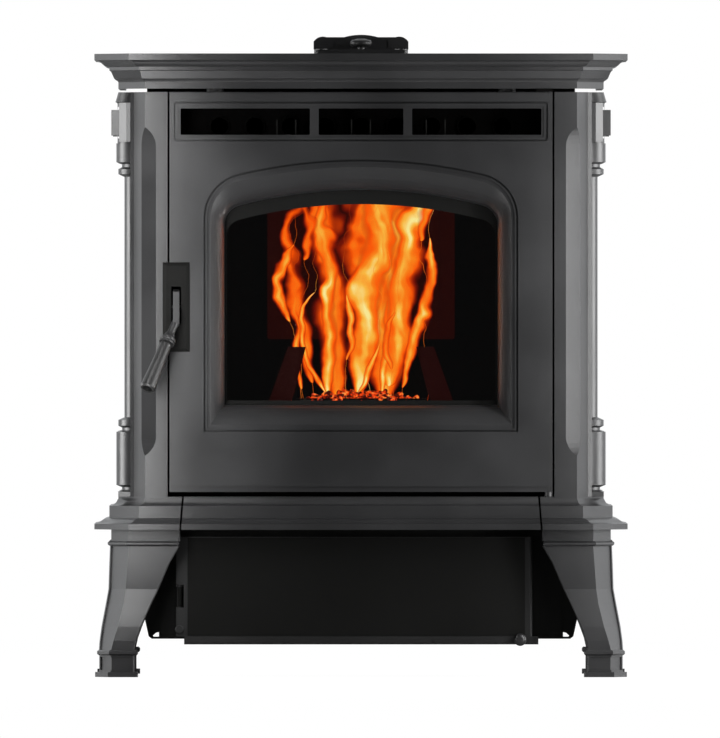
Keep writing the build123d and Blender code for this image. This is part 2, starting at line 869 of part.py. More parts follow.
def make_door():
    """Hollow door casting: face, edge flanges, splayed window frame, glass seat and air grille."""
    face_back = door_front + door_wall
    step = door_front + 2.5
    field = rectangle(-door_half + 1.5, door_half - 1.5, door_low + door_border, door_top - 1.5)
    door = slab(rectangle(-door_half, door_half, door_low, door_top), step, face_back)
    door += slab(field, door_front, step)
    edge = rectangle(-door_half, door_half, door_low, door_top)
    edge -= rectangle(
        -door_half + door_flange, door_half - door_flange, door_low + door_flange,
        door_top - door_flange,
    )
    door += slab(edge, step, door_depth)
    seat_y = door_front + splay_depth
    seat = arch(seal_half, seal_low, seal_top, splay_crown, splay_corner)
    door += splay_solid(6.0)
    door += slab(seat, seat_y - 5, seat_y)
    door -= splay_solid(0)
    bead = arch(
        splay_half + window_bead, splay_low - window_bead, splay_top + window_bead,
        splay_crown + window_bead, splay_corner + window_bead,
    )
    ring = window_bead - groove_width
    rim = arch(
        splay_half + ring, splay_low - ring, splay_top + ring, splay_crown + ring,
        splay_corner + ring,
    )
    door -= slab(bead - rim, door_front - 1, door_front + groove_depth)
    step_in = arch(
        splay_half + window_step, splay_low - window_step, splay_top + window_step,
        splay_crown + window_step, splay_corner + window_step,
    )
    door -= slab(step_in, door_front - 1, door_front + 2.2)
    frame = rectangle(-grille_half, grille_half, grille_low, grille_high, 5)
    frame_inner = rectangle(
        -grille_half + groove_width, grille_half - groove_width, grille_low + groove_width,
        grille_high - groove_width, 3,
    )
    door -= slab(frame - frame_inner, door_front - 1, door_front + groove_depth)
    door -= slab(
        rectangle(-slot_outer - 3, slot_outer + 3, slot_low - 3, slot_high + 3, 2), door_front - 1,
        door_front + 1.5,
    )
    for left, right in slots:
        door -= slab(
            rectangle(left, right, slot_low, slot_high, 1.5), door_front - 1, face_back + 1
        )
    shelf_z = slot_low - 8.0
    door += block(-slot_outer, slot_outer, face_back - 0.5, door_depth - 4, shelf_z - 6, shelf_z)
    slot_left = latch_x - lever_slot_width / 2
    slot_right = latch_x + lever_slot_width / 2
    door -= block(
        slot_left, slot_right, door_front - 1, face_back + 1, lever_slot_low, lever_slot_high
    )
    door -= block(
        slot_left, slot_right, face_back, door_depth + 1, lever_slot_low - 24, lever_slot_high + 4
    )
    door += latch_lug()
    door -= trunnion_hole()
    lug = block(
        door_half - 24, door_half, step, door_depth - 10, door_low, door_low + hinge_pin_depth + 6
    )
    lug += block(
        door_half - 24, door_half, step, door_depth - 10, door_top - hinge_pin_depth - 6, door_top
    )
    door += lug
    bore = hinge_pin_radius + pin_clearance
    door -= rod(
        (door_pin_x, door_pin_y, door_low - 1),
        (door_pin_x, door_pin_y, door_low + hinge_pin_depth + 1), bore,
    )
    door -= rod(
        (door_pin_x, door_pin_y, door_top - hinge_pin_depth - 1),
        (door_pin_x, door_pin_y, door_top + 1), bore,
    )
    return door


# ---------------------------------------------------------------- what the door carries
seat_back = door_front + splay_depth
glass_front = seat_back + frame_thickness + gasket_thickness


def glass_arch(lap):
    """The glass opening's outline, grown by lap."""
    return arch(glass_half + lap, glass_low - lap, glass_top + lap, glass_crown + lap, 22 + lap)


def make_glass_frame():
    """Steel frame whose arched edge shows round the glass."""
    return slab(glass_arch(18) - glass_arch(0), seat_back, seat_back + frame_thickness)


def make_glass_gasket():
    """Flat fibre tape between the frame and the glass."""
    return slab(glass_arch(glass_lap) - glass_arch(3), seat_back + frame_thickness, glass_front)


def make_door_glass():
    return slab(glass_arch(glass_lap), glass_front, glass_front + glass_thickness)


def clip_places():
    """X, Z and turn of the clips that hold the glass: three on each side, two below, two above."""
    reach = glass_half + glass_lap - 4
    places = [
        (side * reach, z, 0 if side > 0 else 180)
        for side in (-1, 1) for z in (glass_low + 40, glass_low + 180)
    ]
    places += [(x, glass_low - glass_lap + 4, -90) for x in (-100, 100)]
    return places


def make_glass_clips():
    """Small clips screwed to the frame that press the glass to its tape."""
    back = glass_front + glass_thickness
    clips = []
    for x, z, turn in clip_places():
        outline = Pos(x, z) * Rot(0, 0, turn) * Pos(5, 0) * RectangleRounded(22, 14, 3)
        spacer = Pos(x, z) * Rot(0, 0, turn) * Pos(9.5, 0) * RectangleRounded(8, 12, 2)
        clip = slab(outline, back, back + clip_thickness) + slab(
            spacer, seat_back + frame_thickness, back
        )
        clips.append(clip)
    return group(clips)


def make_door_gasket():
    """Rope seal round the window, in its seat on the back of the door."""
    half = rope / 2
    ring = arch(seal_half - 2, seal_low + 2, seal_top - 2, splay_crown, splay_corner)
    ring -= arch(
        seal_half - 2 - rope, seal_low + 2 + rope, seal_top - 2 - rope, splay_crown - rope,
        splay_corner - rope,
    )
    seal = slab(ring, seat_back, firebox_front - touch_gap)
    outer_edges = seal.faces().sort_by(Axis.Y)[-1].edges()
    return fillet(outer_edges, half * 0.6)


def make_grille_clips():
    """Three sheet brackets, each with two upright fins, behind the grille slots."""
    y_front = door_front + door_wall + 1
    y_back = door_depth - 6
    shelf_z = slot_low - 8.0
    clips = []
    for x in (-clip_pitch, 0, clip_pitch):
        half = clip_width / 2
        clip = block(x - half, x + half, y_front, y_back, shelf_z, shelf_z + 1.5)
        for side in (-1, 1):
            fin_x = x + side * (half - 0.75)
            clip += block(
                fin_x - 0.75, fin_x + 0.75, y_front, y_back, shelf_z, shelf_z + clip_height
            )
        clips.append(clip)
    return group(clips)


def make_hinge_pins():
    """Door hinge pins: the lower one has a collar that the door rests on."""
    bottom = plinth_top - hinge_pin_depth
    lower = rod(
        (door_pin_x, door_pin_y, bottom), (door_pin_x, door_pin_y, door_low + hinge_pin_depth),
        hinge_pin_radius,
    )
    lower += rod(
        (door_pin_x, door_pin_y, plinth_top), (door_pin_x, door_pin_y, door_low),
        hinge_pin_radius + 2.2,
    )
    upper = rod(
        (door_pin_x, door_pin_y, door_top - hinge_pin_depth),
        (door_pin_x, door_pin_y, upper_pin_top), hinge_pin_radius,
    )
    return group([lower, upper])


upper_pin_top = body_top + 3.0


def hinge_ear():
    """Welded ear on the firebox front that holds the upper hinge pin above the door."""
    high = body_top + upper_bracket_thickness
    ear = block(
        door_pin_x - 16, door_pin_x + 6, door_pin_y - 6, firebox_front + 1, body_top + touch_gap,
        high,
    )
    ear += block(
        door_pin_x - 16, door_pin_x - 4, firebox_front - 4, firebox_front + 1, firebox_top - 26,
        high,
    )
    return ear - rod(
        (door_pin_x, door_pin_y, body_top - 1), (door_pin_x, door_pin_y, high + 1), hinge_pin_radius
    )


# ---------------------------------------------------------------- latch and handle
plate_back = door_front
plate_front = door_front - plate_thickness
lever_angle = math.degrees(math.atan2(18, 28))
knee = (latch_x, latch_set_back - 28, latch_z - 18)


def grip_direction():
    """Unit vector down the grip: outwards, forwards and down."""
    return Vector(-28.2, -40.0, -67.5).normalized()


def make_latch_plate():
    """Bevelled plate on the door's face with the slot that the lever moves in."""
    bevel = plate_bevel
    outline = rectangle(plate_left, plate_right, plate_low, plate_high)
    face = rectangle(plate_left + bevel, plate_right - bevel, plate_low + bevel, plate_high - bevel)
    shoulder = plate_back - 1.8
    plate = slab(outline, shoulder, plate_back)
    plate += loft(
        [Plane.XZ.offset(-shoulder) * outline, Plane.XZ.offset(-plate_front) * face], ruled=True
    )
    half = lever_slot_width / 2
    slot = rectangle(latch_x - half, latch_x + half, lever_slot_low, lever_slot_high, 1.5)
    return plate - slab(slot, plate_front - 1, plate_back + 1)


def make_door_lever():
    """Flat lever on its pivot, with the hook behind it and the round bar that carries the grip."""
    half = lever_width / 2
    pivot_y = latch_set_back
    low = latch_z
    hub = across(Pos(pivot_y, low) * Circle(10), latch_x - half, latch_x + half)
    reach = math.hypot(knee[1] - pivot_y, knee[2] - low)
    arm = Pos(pivot_y, low) * Rot(
        0, 0, 180 + lever_angle
    ) * Pos(reach / 2, 0) * Rectangle(reach, lever_height)
    lever = hub + across(arm, latch_x - half, latch_x + half)
    lever += across(
        Pos(knee[1], knee[2]) * Circle(lever_height / 2), latch_x - half, latch_x + half
    )
    upper = Polyline(
        (pivot_y, low), (2, low + 24.4), (-5, low + 20.8), (knee[1] - 5.5, knee[2] + 2),
        (knee[1], knee[2] - 5), close=True,
    )
    lever += across(make_face(upper), latch_x - half, latch_x + half)
    hook = Polyline(
        (pivot_y, low - 10), (pivot_y + 35, low - 13), (pivot_y + 35, low - 1),
        (pivot_y + 30.5, low - 1), (pivot_y + 28.8, low - 5.5), (pivot_y, low - 3), close=True,
    )
    lever += across(make_face(hook), latch_x - half, latch_x + half)
    tail = Vector(*ferrule_start) + grip_direction() * (ferrule_length + 18)
    lever += rod(knee, ferrule_start, 5.0)
    lever += Pos(*ferrule_start) * Sphere(5.0)
    lever += rod(ferrule_start, tuple(tail), 5.0)
    inner_end = latch_x + lever_slot_width / 2 + 6
    return lever + rod((-door_half + 0.5, pivot_y, low), (inner_end, pivot_y, low), pivot_radius)


def latch_lug():
    """Lug inside the door casting for the inner end of the lever's trunnion."""
    x_low = latch_x + lever_slot_width / 2
    return block(
        x_low, x_low + 7, door_front + door_wall - 1, latch_set_back + 8, latch_z - 9, latch_z + 9
    )


def trunnion_hole():
    """Hole through the door's edge and the lug for the lever's trunnions."""
    bore = pivot_radius + pin_clearance
    return rod(
        (-door_half - 1, latch_set_back, latch_z),
        (latch_x + lever_slot_width / 2 + 8, latch_set_back, latch_z), bore,
    )


def make_handle_ferrule():
    """Turned collar between the lever and the grip."""
    axis = grip_direction()
    start = Vector(*ferrule_start) + axis * 4
    place = Plane(origin=start, z_dir=axis)
    profile = Polyline(
        (5.0, 0), (6.2, 0), (7.6, 5.5), (8.4, 6.5), (ferrule_radius, 8), (ferrule_radius, 11),
        (9.2, 12), (ferrule_radius - 0.3, 13), (ferrule_radius - 0.3, ferrule_length),
        (5.0, ferrule_length), close=True,
    )
    turned = revolve(Plane.XZ * make_face(profile), axis=Axis.Z)
    return place.location * turned


def grip_start():
    return Vector(*ferrule_start) + grip_direction() * (4 + ferrule_length)


def make_handle_grip():
    """Tapered tube grip, open at its far end."""
    axis = grip_direction()
    place = Plane(origin=grip_start(), z_dir=axis)
    radius = grip_radius
    profile = Polyline(
        (5.0, 0), (grip_top_radius - 0.6, 0), (grip_top_radius, 3), (radius, grip_length - 1.5),
        (radius - 1.2, grip_length), (grip_bore, grip_length),
        (grip_bore, 20), (5.0, 18), close=True,
    )
    turned = revolve(Plane.XZ * make_face(profile), axis=Axis.Z)
    return place.location * turned


def latch_catch():
    """Ear and cross pin on the firebox front that the lever's hook goes behind."""
    ear_x = latch_x + lever_slot_width / 2 + 8.5
    pin_y = latch_set_back + 24
    pin_z = latch_z + 4.5
    ear = block(ear_x, ear_x + 4, pin_y - 6, firebox_front, pin_z - 9, pin_z + 9)
    ear += block(ear_x, ear_x + 10, firebox_front - 3, firebox_front, pin_z - 16, pin_z + 16)
    return ear + rod((latch_x - lever_width / 2, pin_y, pin_z), (ear_x + 1, pin_y, pin_z), 3.8)


# ---------------------------------------------------------------- firebox
tube_hole = tube_radius + pin_clearance


def tube_places():
    return [(index - (tube_count - 1) / 2) * tube_pitch for index in range(tube_count)]


def make_firebox_shell():
    """Welded steel firebox: floor frame, sides, back and top, open to the door."""
    wall = firebox_wall
    outer = block(
        -firebox_half, firebox_half, front_plate_back, firebox_back, floor_top, firebox_top
    )
    inner = block(
        -firebox_half + wall, firebox_half - wall, front_plate_back - 1, firebox_back - wall,
        floor_top - 1, firebox_top - wall,
    )
    shell = outer - inner
    for x in tube_places():
        shell -= rod(
            (x, firebox_back - wall - 1, tube_level), (x, firebox_back + 1, tube_level), tube_hole
        )
    shell -= rod(
        auger_point(-60), auger_point(auger_tube_length + 40), auger_tube_radius + pin_clearance
    )
    shell -= rod(
        (intake_x, firebox_back - wall - 1, intake_z), (intake_x, firebox_back + 1, intake_z),
        intake_radius + pin_clearance,
    )
    shell -= rod(
        (igniter_x, firebox_back - wall - 1, igniter_z), (igniter_x, firebox_back + 1, igniter_z),
        igniter_radius + pin_clearance,
    )
    shell -= block(
        duct_left + sheet, duct_right - sheet, firebox_back - wall - 1, firebox_back + 1,
        duct_low + sheet, duct_high - sheet,
    )
    return shell


def make_firebox_front():
    """Flat front plate of the firebox that the door's rope seals against."""
    plate = block(
        -door_half + 1, door_half - 1, firebox_front, front_plate_back, floor_top, firebox_top
    )
    plate -= slab(
        rectangle(-mouth_half, mouth_half, mouth_low, mouth_high, 30), firebox_front - 1,
        front_plate_back + 1,
    )
    for x in tube_places():
        plate -= rod(
            (x, firebox_front - 1, tube_level), (x, front_plate_back + 1, tube_level), tube_hole
        )
    return plate + hinge_ear() + latch_catch()


def make_exchanger_tubes():
    """Heat exchanger tubes that carry room air through the top of the firebox to the grille."""
    tubes = [
        tube(
            (x, firebox_front - 3, tube_level), (x, firebox_back + 4, tube_level), tube_radius,
            tube_radius - tube_wall,
        )
        for x in tube_places()
    ]
    return group(tubes)


def make_hearth_plate():
    """Cast plate round the burn pot, on two side walls, with the rails of the pot's sliding floor."""
    wall = firebox_wall
    half = firebox_half - wall
    under = hearth_level - 6
    plate = block(-half, half, front_plate_back, firebox_back - wall, under, hearth_level)
    plate -= block(
        -pot_half - 1, pot_half + 1, pot_front - 1, pot_back + 1, under - 1, hearth_level + 1
    )
    floor_high = pot_low
    floor_low = pot_low - pot_floor_thickness
    edge = pot_half - 8
    rail_back = pot_back + pot_floor_travel
    rail = block(edge - 8, edge + 13, pot_front, rail_back, floor_low - 2.5, floor_low)
    rail += block(edge + touch_gap, edge + 13, pot_front, rail_back, floor_low, floor_high)
    rail += block(pot_half + 1.5, edge + 13, pot_front, rail_back, floor_high, under + 1)
    foot = block(half - 10, half, front_plate_back, firebox_back - wall, floor_top, under + 1)
    for piece in (rail, foot):
        plate += piece
        plate += mirror(piece, about=Plane.YZ)
    return plate


def make_burn_pot():
    """Cast burn pot: a rimmed trough with air holes through its walls, open below."""
    low = pot_low
    wall = pot_wall
    pot = block(-pot_half, pot_half, pot_front, pot_back, low, pot_top)
    pot += block(
        -pot_half - 12, pot_half + 12, pot_front - 12, pot_back + 12, hearth_level, hearth_level + 6
    )
    inner_low = Plane.XY.offset(low - 1) * rectangle(
        -pot_half + 22, pot_half - 22, pot_front + 10, pot_back - 10
    )
    inner_high = Plane.XY.offset(pot_top + 1) * rectangle(
        -pot_half + wall, pot_half - wall, pot_front + wall, pot_back - wall
    )
    pot -= loft([inner_low, inner_high], ruled=True)
    for row in range(2):
        z = pot_top - 9 - 12 * row
        for index in range(7):
            x = (index - 3) * 19 + 4 * row
            pot -= rod((x, pot_front - 1, z), (x, pot_front + 18, z), pot_hole)
            if math.hypot(x - igniter_x, z - igniter_z) > igniter_radius + 9:
                pot -= rod((x, pot_back - 18, z), (x, pot_back + 1, z), pot_hole)
    pot -= rod(
        (igniter_x, pot_back - 24, igniter_z), (igniter_x, pot_back + 1, igniter_z),
        igniter_radius + 1,
    )
    return pot


pot_low = hearth_level - 22


def make_pot_floor():
    """Sliding floor of the burn pot that drops the ash when it moves back."""
    high = pot_low
    plate = block(
        -pot_half + 8, pot_half - 8, pot_front + 2, pot_back - 2, high - pot_floor_thickness, high
    )
    for row in range(3):
        for index in range(7):
            x = (index - 3) * 16
            y = pot_front + 24 + row * 17
            plate -= Pos(x, y, high) * Cylinder(2.2, 10)
    return plate


def make_igniter():
    """Hot rod igniter through the firebox back into the burn pot."""
    heater = rod(
        (igniter_x, pot_back - 8, igniter_z), (igniter_x, firebox_back + 24, igniter_z),
        igniter_radius,
    )
    heater += rod(
        (igniter_x, firebox_back, igniter_z), (igniter_x, firebox_back + 5, igniter_z),
        igniter_radius + 5,
    )
    return heater


def side_wings():
    """Two sloped cast plates from the back panel down to the burn pot's sides."""
    level = hearth_level
    near = pot_half + 3
    outline = Polyline(
        (near - 16, level + wing_rise), (near + 7, level + wing_rise), (near + 31.5, level + 42),
        (near + 33, level), (near + 21.5, level), (near, level + 48), close=True,
    )
    return both_sides(slab(make_face(outline), pot_front + 14, baffle_front - 4))


def make_back_panels():
    """Cast panel behind the fire, on posts from the firebox back, and the sloped wings below it."""
    panel = slab(
        rectangle(-baffle_half, baffle_half, baffle_low, baffle_top, 3), baffle_front, baffle_back
    )
    for x in (-80, 80):
        for z in (baffle_low + 40, baffle_top - 30):
            panel += rod((x, baffle_back - 1, z), (x, firebox_back - firebox_wall, z), 7)
    rib = 3.0
    for index in range(6):
        x = (index - 2.5) * 40
        panel += slab(
            rectangle(x - 2, x + 2, baffle_low + 16, baffle_top - 16, 1.5), baffle_front - rib,
            baffle_front + 1,
        )
    return group([panel, *side_wings()])


def make_feed_chute():
    """Sheet chute that leads the pellets from the auger tube forward to the burn pot."""
    wall = sheet
    half = 36.0
    back = firebox_back - firebox_wall
    low = pot_top + 4
    floor = Polyline(
        (back, low + 4), (pot_back - 6, low), (pot_back - 6, low + wall), (back, low + 4 + wall),
        close=True,
    )
    chute = across(make_face(floor), -half, half)
    for side in (-1, 1):
        x_low, x_high = sorted((side * half, side * (half - wall)))
        chute += block(x_low, x_high, pot_back + 6, back, low + 1, low + 30)
    return chute


# ---------------------------------------------------------------- pellet feed
def auger_point(distance):
    """A point on the auger's axis, at a distance up the slope from its lower end."""
    slope = math.radians(auger_slope)
    return (0.0, auger_low_y - distance * math.cos(slope), auger_low_z + distance * math.sin(slope))


def auger_plane(distance):
    """Plane square to the auger's axis, its normal pointing up the slope."""
    slope = math.radians(auger_slope)
    return Plane(
        origin=auger_point(distance), x_dir=(1, 0, 0), z_dir=(0, -math.cos(slope), math.sin(slope))
    )


def throat_column(half, z_low, z_high):
    """The square throat between the hopper and the auger tube."""
    return block(-half, half, throat_y - half, throat_y + half, z_low, z_high)


def make_auger_tube():
    barrel = tube(
        auger_point(0), auger_point(auger_tube_length), auger_tube_radius,
        auger_tube_radius - auger_tube_wall,
    )
    barrel += tube(
        auger_point(0), auger_point(4), auger_tube_radius + 10, auger_tube_radius - auger_tube_wall
    )
    lip = throat_half - hopper_sheet - 1
    return barrel - throat_column(lip, auger_low_z + 12, hopper_low + 40)


def make_feed_auger():
    """Auger: a shaft with one continuous screw flight."""
    plane = auger_plane(10)
    length = auger_tube_length - 14
    middle = (auger_shaft + flight_radius) / 2 - 0.5
    path = Helix(pitch=flight_pitch, height=length - 12, radius=middle)
    section = Plane(
        origin=path @ 0, z_dir=path % 0, x_dir=(1, 0, 0)
    ) * Rectangle(flight_radius - auger_shaft + 1, 2.5)
    flight = sweep(section, path=path, is_frenet=True)
    shaft = Pos(0, 0, -34) * Cylinder(
        auger_shaft, length + 34, align=(Align.CENTER, Align.CENTER, Align.MIN)
    )
    return plane.location * (shaft + flight)


def make_auger_gearmotor():
    """Gearbox clamped to the lower end of the auger tube, with its motor at the side."""
    plane = auger_plane(-44)
    body = Box(70, 62, 44, align=(Align.CENTER, Align.CENTER, Align.MIN))
    body = fillet(body.edges().filter_by(Axis.Z), 8)
    bore = Pos(0, 0, 12) * Cylinder(
        auger_shaft + pin_clearance, 60, align=(Align.CENTER, Align.CENTER, Align.MIN)
    )
    return group([plane.location * (body - bore), auger_motor()])


def auger_motor():
    """Small shaded-pole motor on the side of the gearbox."""
    plane = auger_plane(-22)
    core = Pos(-35 - 15, 0, 0) * Box(30, 48, 40)
    cap = Pos(-35 - 30 - 5, 0, 0) * Rot(0, 90, 0) * Cylinder(15, 10)
    coil = Pos(-50, 0, -24) * Box(22, 22, 10)
    return plane.location * (core + cap + coil)


def make_hopper():
    """Sheet hopper: straight mouth, tapered bottom and square throat down to the auger tube."""
    wall = hopper_sheet
    top = skin_low - 0.5
    bend = 640.0

    def funnel(inset, low, high):
        mouth = rectangle(
            -hopper_half + inset, hopper_half - inset, hopper_front + inset, hopper_back - inset
        )
        neck = rectangle(
            -throat_half + inset, throat_half - inset, throat_y - throat_half + inset,
            throat_y + throat_half - inset,
        )
        straight = flat(mouth, bend, high)
        taper = loft([Plane.XY.offset(hopper_low) * neck, Plane.XY.offset(bend) * mouth], ruled=True)
        return straight + taper + flat(neck, low, hopper_low)

    rim = rectangle(
        -hopper_half - hopper_rim, hopper_half + hopper_rim, hopper_front - hopper_rim,
        hopper_back + hopper_rim, 8,
    )
    body = funnel(0, auger_low_z, top) + flat(rim, top - wall, top)
    body -= funnel(wall, auger_low_z - 1, top + 1)
    body -= rod(auger_point(-60), auger_point(auger_tube_length + 60), auger_tube_radius)
    return sorted(body.solids(), key=lambda solid: solid.volume)[-1]


# ---------------------------------------------------------------- combustion blower and flue
exhaust_left = exhaust_x - exhaust_width / 2
exhaust_right = exhaust_x + exhaust_width / 2
duct_left = exhaust_right
duct_right = exhaust_right + 26.0
duct_low = exhaust_z - 45
duct_high = exhaust_z + 45
flue_z = exhaust_z - exhaust_radius + flue_radius
housing_back = exhaust_y + exhaust_radius + 2


def make_exhaust_duct():
    """Box duct from the firebox back to the side of the combustion blower."""
    back = exhaust_y + 45
    duct = block(duct_left, duct_right, firebox_back, back, duct_low, duct_high)
    duct -= block(
        duct_left + sheet, duct_right - sheet, firebox_back - 1, back - sheet, duct_low + sheet,
        duct_high - sheet,
    )
    return duct - rod(
        (duct_left - 1, exhaust_y, exhaust_z), (duct_left + sheet + 1, exhaust_y, exhaust_z),
        blower_inlet,
    )


def volute(radius, inset):
    """Side outline of the combustion blower's scroll with its outlet to the back."""
    outlet = rectangle(
        exhaust_y, housing_back - inset, flue_z - flue_radius + inset, flue_z + flue_radius - inset
    )
    return Pos(exhaust_y, exhaust_z) * Circle(radius - inset) + outlet


def make_exhaust_housing():
    housing = across(volute(exhaust_radius, 0), exhaust_left, exhaust_right)
    housing -= across(
        volute(exhaust_radius, housing_wall), exhaust_left + housing_wall,
        exhaust_right - housing_wall,
    )
    housing -= rod(
        (exhaust_right - housing_wall - 1, exhaust_y, exhaust_z),
        (exhaust_right + 1, exhaust_y, exhaust_z), blower_inlet,
    )
    housing -= rod(
        (exhaust_left - 1, exhaust_y, exhaust_z),
        (exhaust_left + housing_wall + 1, exhaust_y, exhaust_z), motor_shaft + 4,
    )
    housing -= rod(
        (exhaust_x, housing_back - housing_wall - 1, flue_z),
        (exhaust_x, housing_back + 1, flue_z), flue_radius - flue_wall - 3,
    )
    return housing


def make_exhaust_impeller():
    """Paddle wheel on its shaft."""
    hub_left = exhaust_left + housing_wall + 6
    centre = (exhaust_y, exhaust_z)
    wheel = across(Pos(*centre) * Circle(60), hub_left, hub_left + 2)
    wheel += across(Pos(*centre) * Circle(12), hub_left, hub_left + 26)
    for index in range(8):
        blade = Pos(*centre) * Rot(0, 0, index * 45) * Pos(33, 0) * Rectangle(50, 2)
        wheel += across(blade, hub_left + 1, exhaust_right - housing_wall - 10)
    return wheel + rod((exhaust_left - 30, *centre), (hub_left + 1, *centre), motor_shaft)


def motor_body(x_face, side, y, z):
    """A blower motor against x_face, its bore open towards the wheel."""
    far = x_face + side * motor_length
    body = rod((x_face, y, z), (x_face + side * 4, y, z), motor_radius + 6)
    body += rod((x_face + side * 4, y, z), (far, y, z), motor_radius)
    body = fillet(body.edges().filter_by(GeomType.CIRCLE).sort_by(Axis.X)[0 if side < 0 else -1], 6)
    for index in range(8):
        groove = rod((x_face + side * 16, y, z), (far - side * 12, y, z), 2.5)
        turn = math.radians(index * 45)
        body -= Pos(0, motor_radius * math.cos(turn), motor_radius * math.sin(turn)) * groove
    return body - rod(
        (x_face - side, y, z), (x_face + side * 34, y, z), motor_shaft + pin_clearance
    )


def make_blower_motors():
    """Motors of the combustion blower and of the room air blower."""
    exhaust = motor_body(exhaust_left, -1, exhaust_y, exhaust_z)
    room = motor_body(fan_x + fan_width / 2, 1, fan_y, fan_z)
    return group([exhaust, room])


def make_flue_collar():
    """Flanged vent collar out of the back of the stove."""
    collar = rod(
        (exhaust_x, housing_back, flue_z), (exhaust_x, housing_back + 3, flue_z), flue_radius + 7
    )
    collar += rod(
        (exhaust_x, housing_back, flue_z), (exhaust_x, body_depth + flue_reach, flue_z), flue_radius
    )
    stop = body_depth + sheet + stop_gap
    collar += rod((exhaust_x, stop, flue_z), (exhaust_x, stop + 3, flue_z), flue_radius + 2.5)
    return collar - rod(
        (exhaust_x, housing_back - 1, flue_z), (exhaust_x, body_depth + flue_reach + 1, flue_z),
        flue_radius - flue_wall,
    )


def make_intake_pipe():
    """Combustion air pipe from outside to the firebox back."""
    pipe = tube(
        (intake_x, firebox_back - firebox_wall, intake_z),
        (intake_x, body_depth + intake_reach, intake_z), intake_radius, intake_radius - 2,
    )
    stop = body_depth + sheet + stop_gap
    pipe += tube(
        (intake_x, stop, intake_z), (intake_x, stop + 3, intake_z), intake_radius + 2.5,
        intake_radius - 2,
    )
    return pipe + tube(
        (intake_x, firebox_back, intake_z), (intake_x, firebox_back + 3, intake_z),
        intake_radius + 7, intake_radius - 2,
    )


# ---------------------------------------------------------------- room air blower
fan_z = floor_top + fan_radius
plenum_back = firebox_back + plenum_depth


def fan_outline(inset):
    """Side outline of the blower's scroll with its outlet to the front and its foot."""
    centre = Pos(fan_y, fan_z) * Circle(fan_radius - inset)
    outlet = rectangle(plenum_back - inset, fan_y, fan_z + 14 + inset, fan_z + fan_radius - inset)
    return centre + outlet


def make_fan_housing():
    left = fan_x - fan_width / 2
    right = fan_x + fan_width / 2
    outline = fan_outline(0) + rectangle(fan_y - 30, fan_y + 30, floor_top, fan_z - 40)
    housing = across(outline, left, right)
    housing -= across(fan_outline(sheet), left + sheet, right - sheet)
    housing -= block(
        left + sheet, right - sheet, plenum_back - 1, fan_y - 60, fan_z + 14 + sheet,
        fan_z + fan_radius - sheet,
    )
    housing -= rod((left - 1, fan_y, fan_z), (left + sheet + 1, fan_y, fan_z), wheel_inner - 3)
    housing -= rod((right - sheet - 1, fan_y, fan_z), (right + 1, fan_y, fan_z), motor_shaft + 4)
    return housing


def make_fan_wheel():
    """Squirrel-cage wheel: back disc, front ring, curved blades and shaft."""
    left = fan_x - fan_width / 2 + sheet + 6
    right = fan_x + fan_width / 2 - sheet - 8
    place = Pos(fan_y, fan_z)
    wheel = across(place * Circle(wheel_outer), right - 2, right)
    wheel += across(place * (Circle(wheel_outer) - Circle(wheel_inner)), left, left + 3)
    blade_arc = ThreePointArc(
        (wheel_inner + 0.5, 0), ((wheel_inner + wheel_outer) / 2, 2.2), (wheel_outer - 0.5, 0)
    )
    blade_face = make_face(
        Polyline(
            (wheel_outer - 0.5, 0), (wheel_outer - 0.5, -1.2), (wheel_inner + 0.5, -1.2),
            (wheel_inner + 0.5, 0),
        ) + blade_arc
    )
    for index in range(wheel_blades):
        blade = place * Rot(0, 0, index * 360 / wheel_blades) * blade_face
        wheel += across(blade, left + 1, right - 1)
    wheel += across(place * Circle(11), right - 24, right)
    return wheel + rod(
        (right - 24, fan_y, fan_z), (fan_x + fan_width / 2 + 30, fan_y, fan_z), motor_shaft
    )


def plenum_outline(inset):
    """Front outline of the air plenum: a wide chamber over a leg down to the blower."""
    chamber = rectangle(
        -firebox_half + inset, firebox_half - inset, plenum_low + inset, firebox_top - inset
    )
    leg = rectangle(fan_x - 54 + inset, firebox_half - inset, fan_z + 10 + inset, plenum_low + 40)
    return chamber + leg


def make_air_plenum():
    """Sheet pan on the firebox back that leads the blower's air up to the exchanger tubes."""
    pan = slab(plenum_outline(0), firebox_back, plenum_back)
    pan -= slab(plenum_outline(sheet), firebox_back - 1, plenum_back - sheet)
    left = fan_x - fan_width / 2 + sheet
    right = fan_x + fan_width / 2 - sheet
    return pan - block(
        left, right, plenum_back - sheet - 1, plenum_back + 1, fan_z + 14 + sheet,
        fan_z + fan_radius - sheet,
    )


# ---------------------------------------------------------------- rear cover
cover_half = side_half - 2
screw_x = side_half - side_wall / 2


def make_rear_cover():
    """Sheet cover with rows of air slots, and holes for the vent, the air pipe and the power inlet."""
    front = body_depth
    back = body_depth + sheet
    cover = slab(rectangle(-cover_half, cover_half, floor_top + 0.5, body_top, 4), front, back)
    upper = rectangle(-crease_half, crease_half, body_top - 10, skin_low - 0.5)
    cover += slab(upper, front, back)
    for row in range(6):
        for column_x in (90, 160, 230):
            z = fan_z - 45 + row * 18
            if abs(column_x - intake_x) < 60 and z < intake_z + 45:
                continue
            cover -= slab(
                rectangle(column_x - 26, column_x + 26, z - 2.5, z + 2.5), front - 1, back + 1
            )
    for row in range(4):
        for column_x in (-200, -120, -40, 40, 120, 200):
            z = body_top - 50 - row * 18
            cover -= slab(
                rectangle(column_x - 30, column_x + 30, z - 2.5, z + 2.5), front - 1, back + 1
            )
    cover -= rod(
        (exhaust_x, front - 1, flue_z), (exhaust_x, back + 1, flue_z), flue_radius + loose_gap
    )
    cover -= rod(
        (intake_x, front - 1, intake_z), (intake_x, back + 1, intake_z), intake_radius + loose_gap
    )
    cover -= slab(
        rectangle(inlet_x - 14, inlet_x + 14, inlet_z - 10, inlet_z + 10, 2), front - 1, back + 1
    )
    return cover - screw_shanks(screw_radius + pin_clearance)


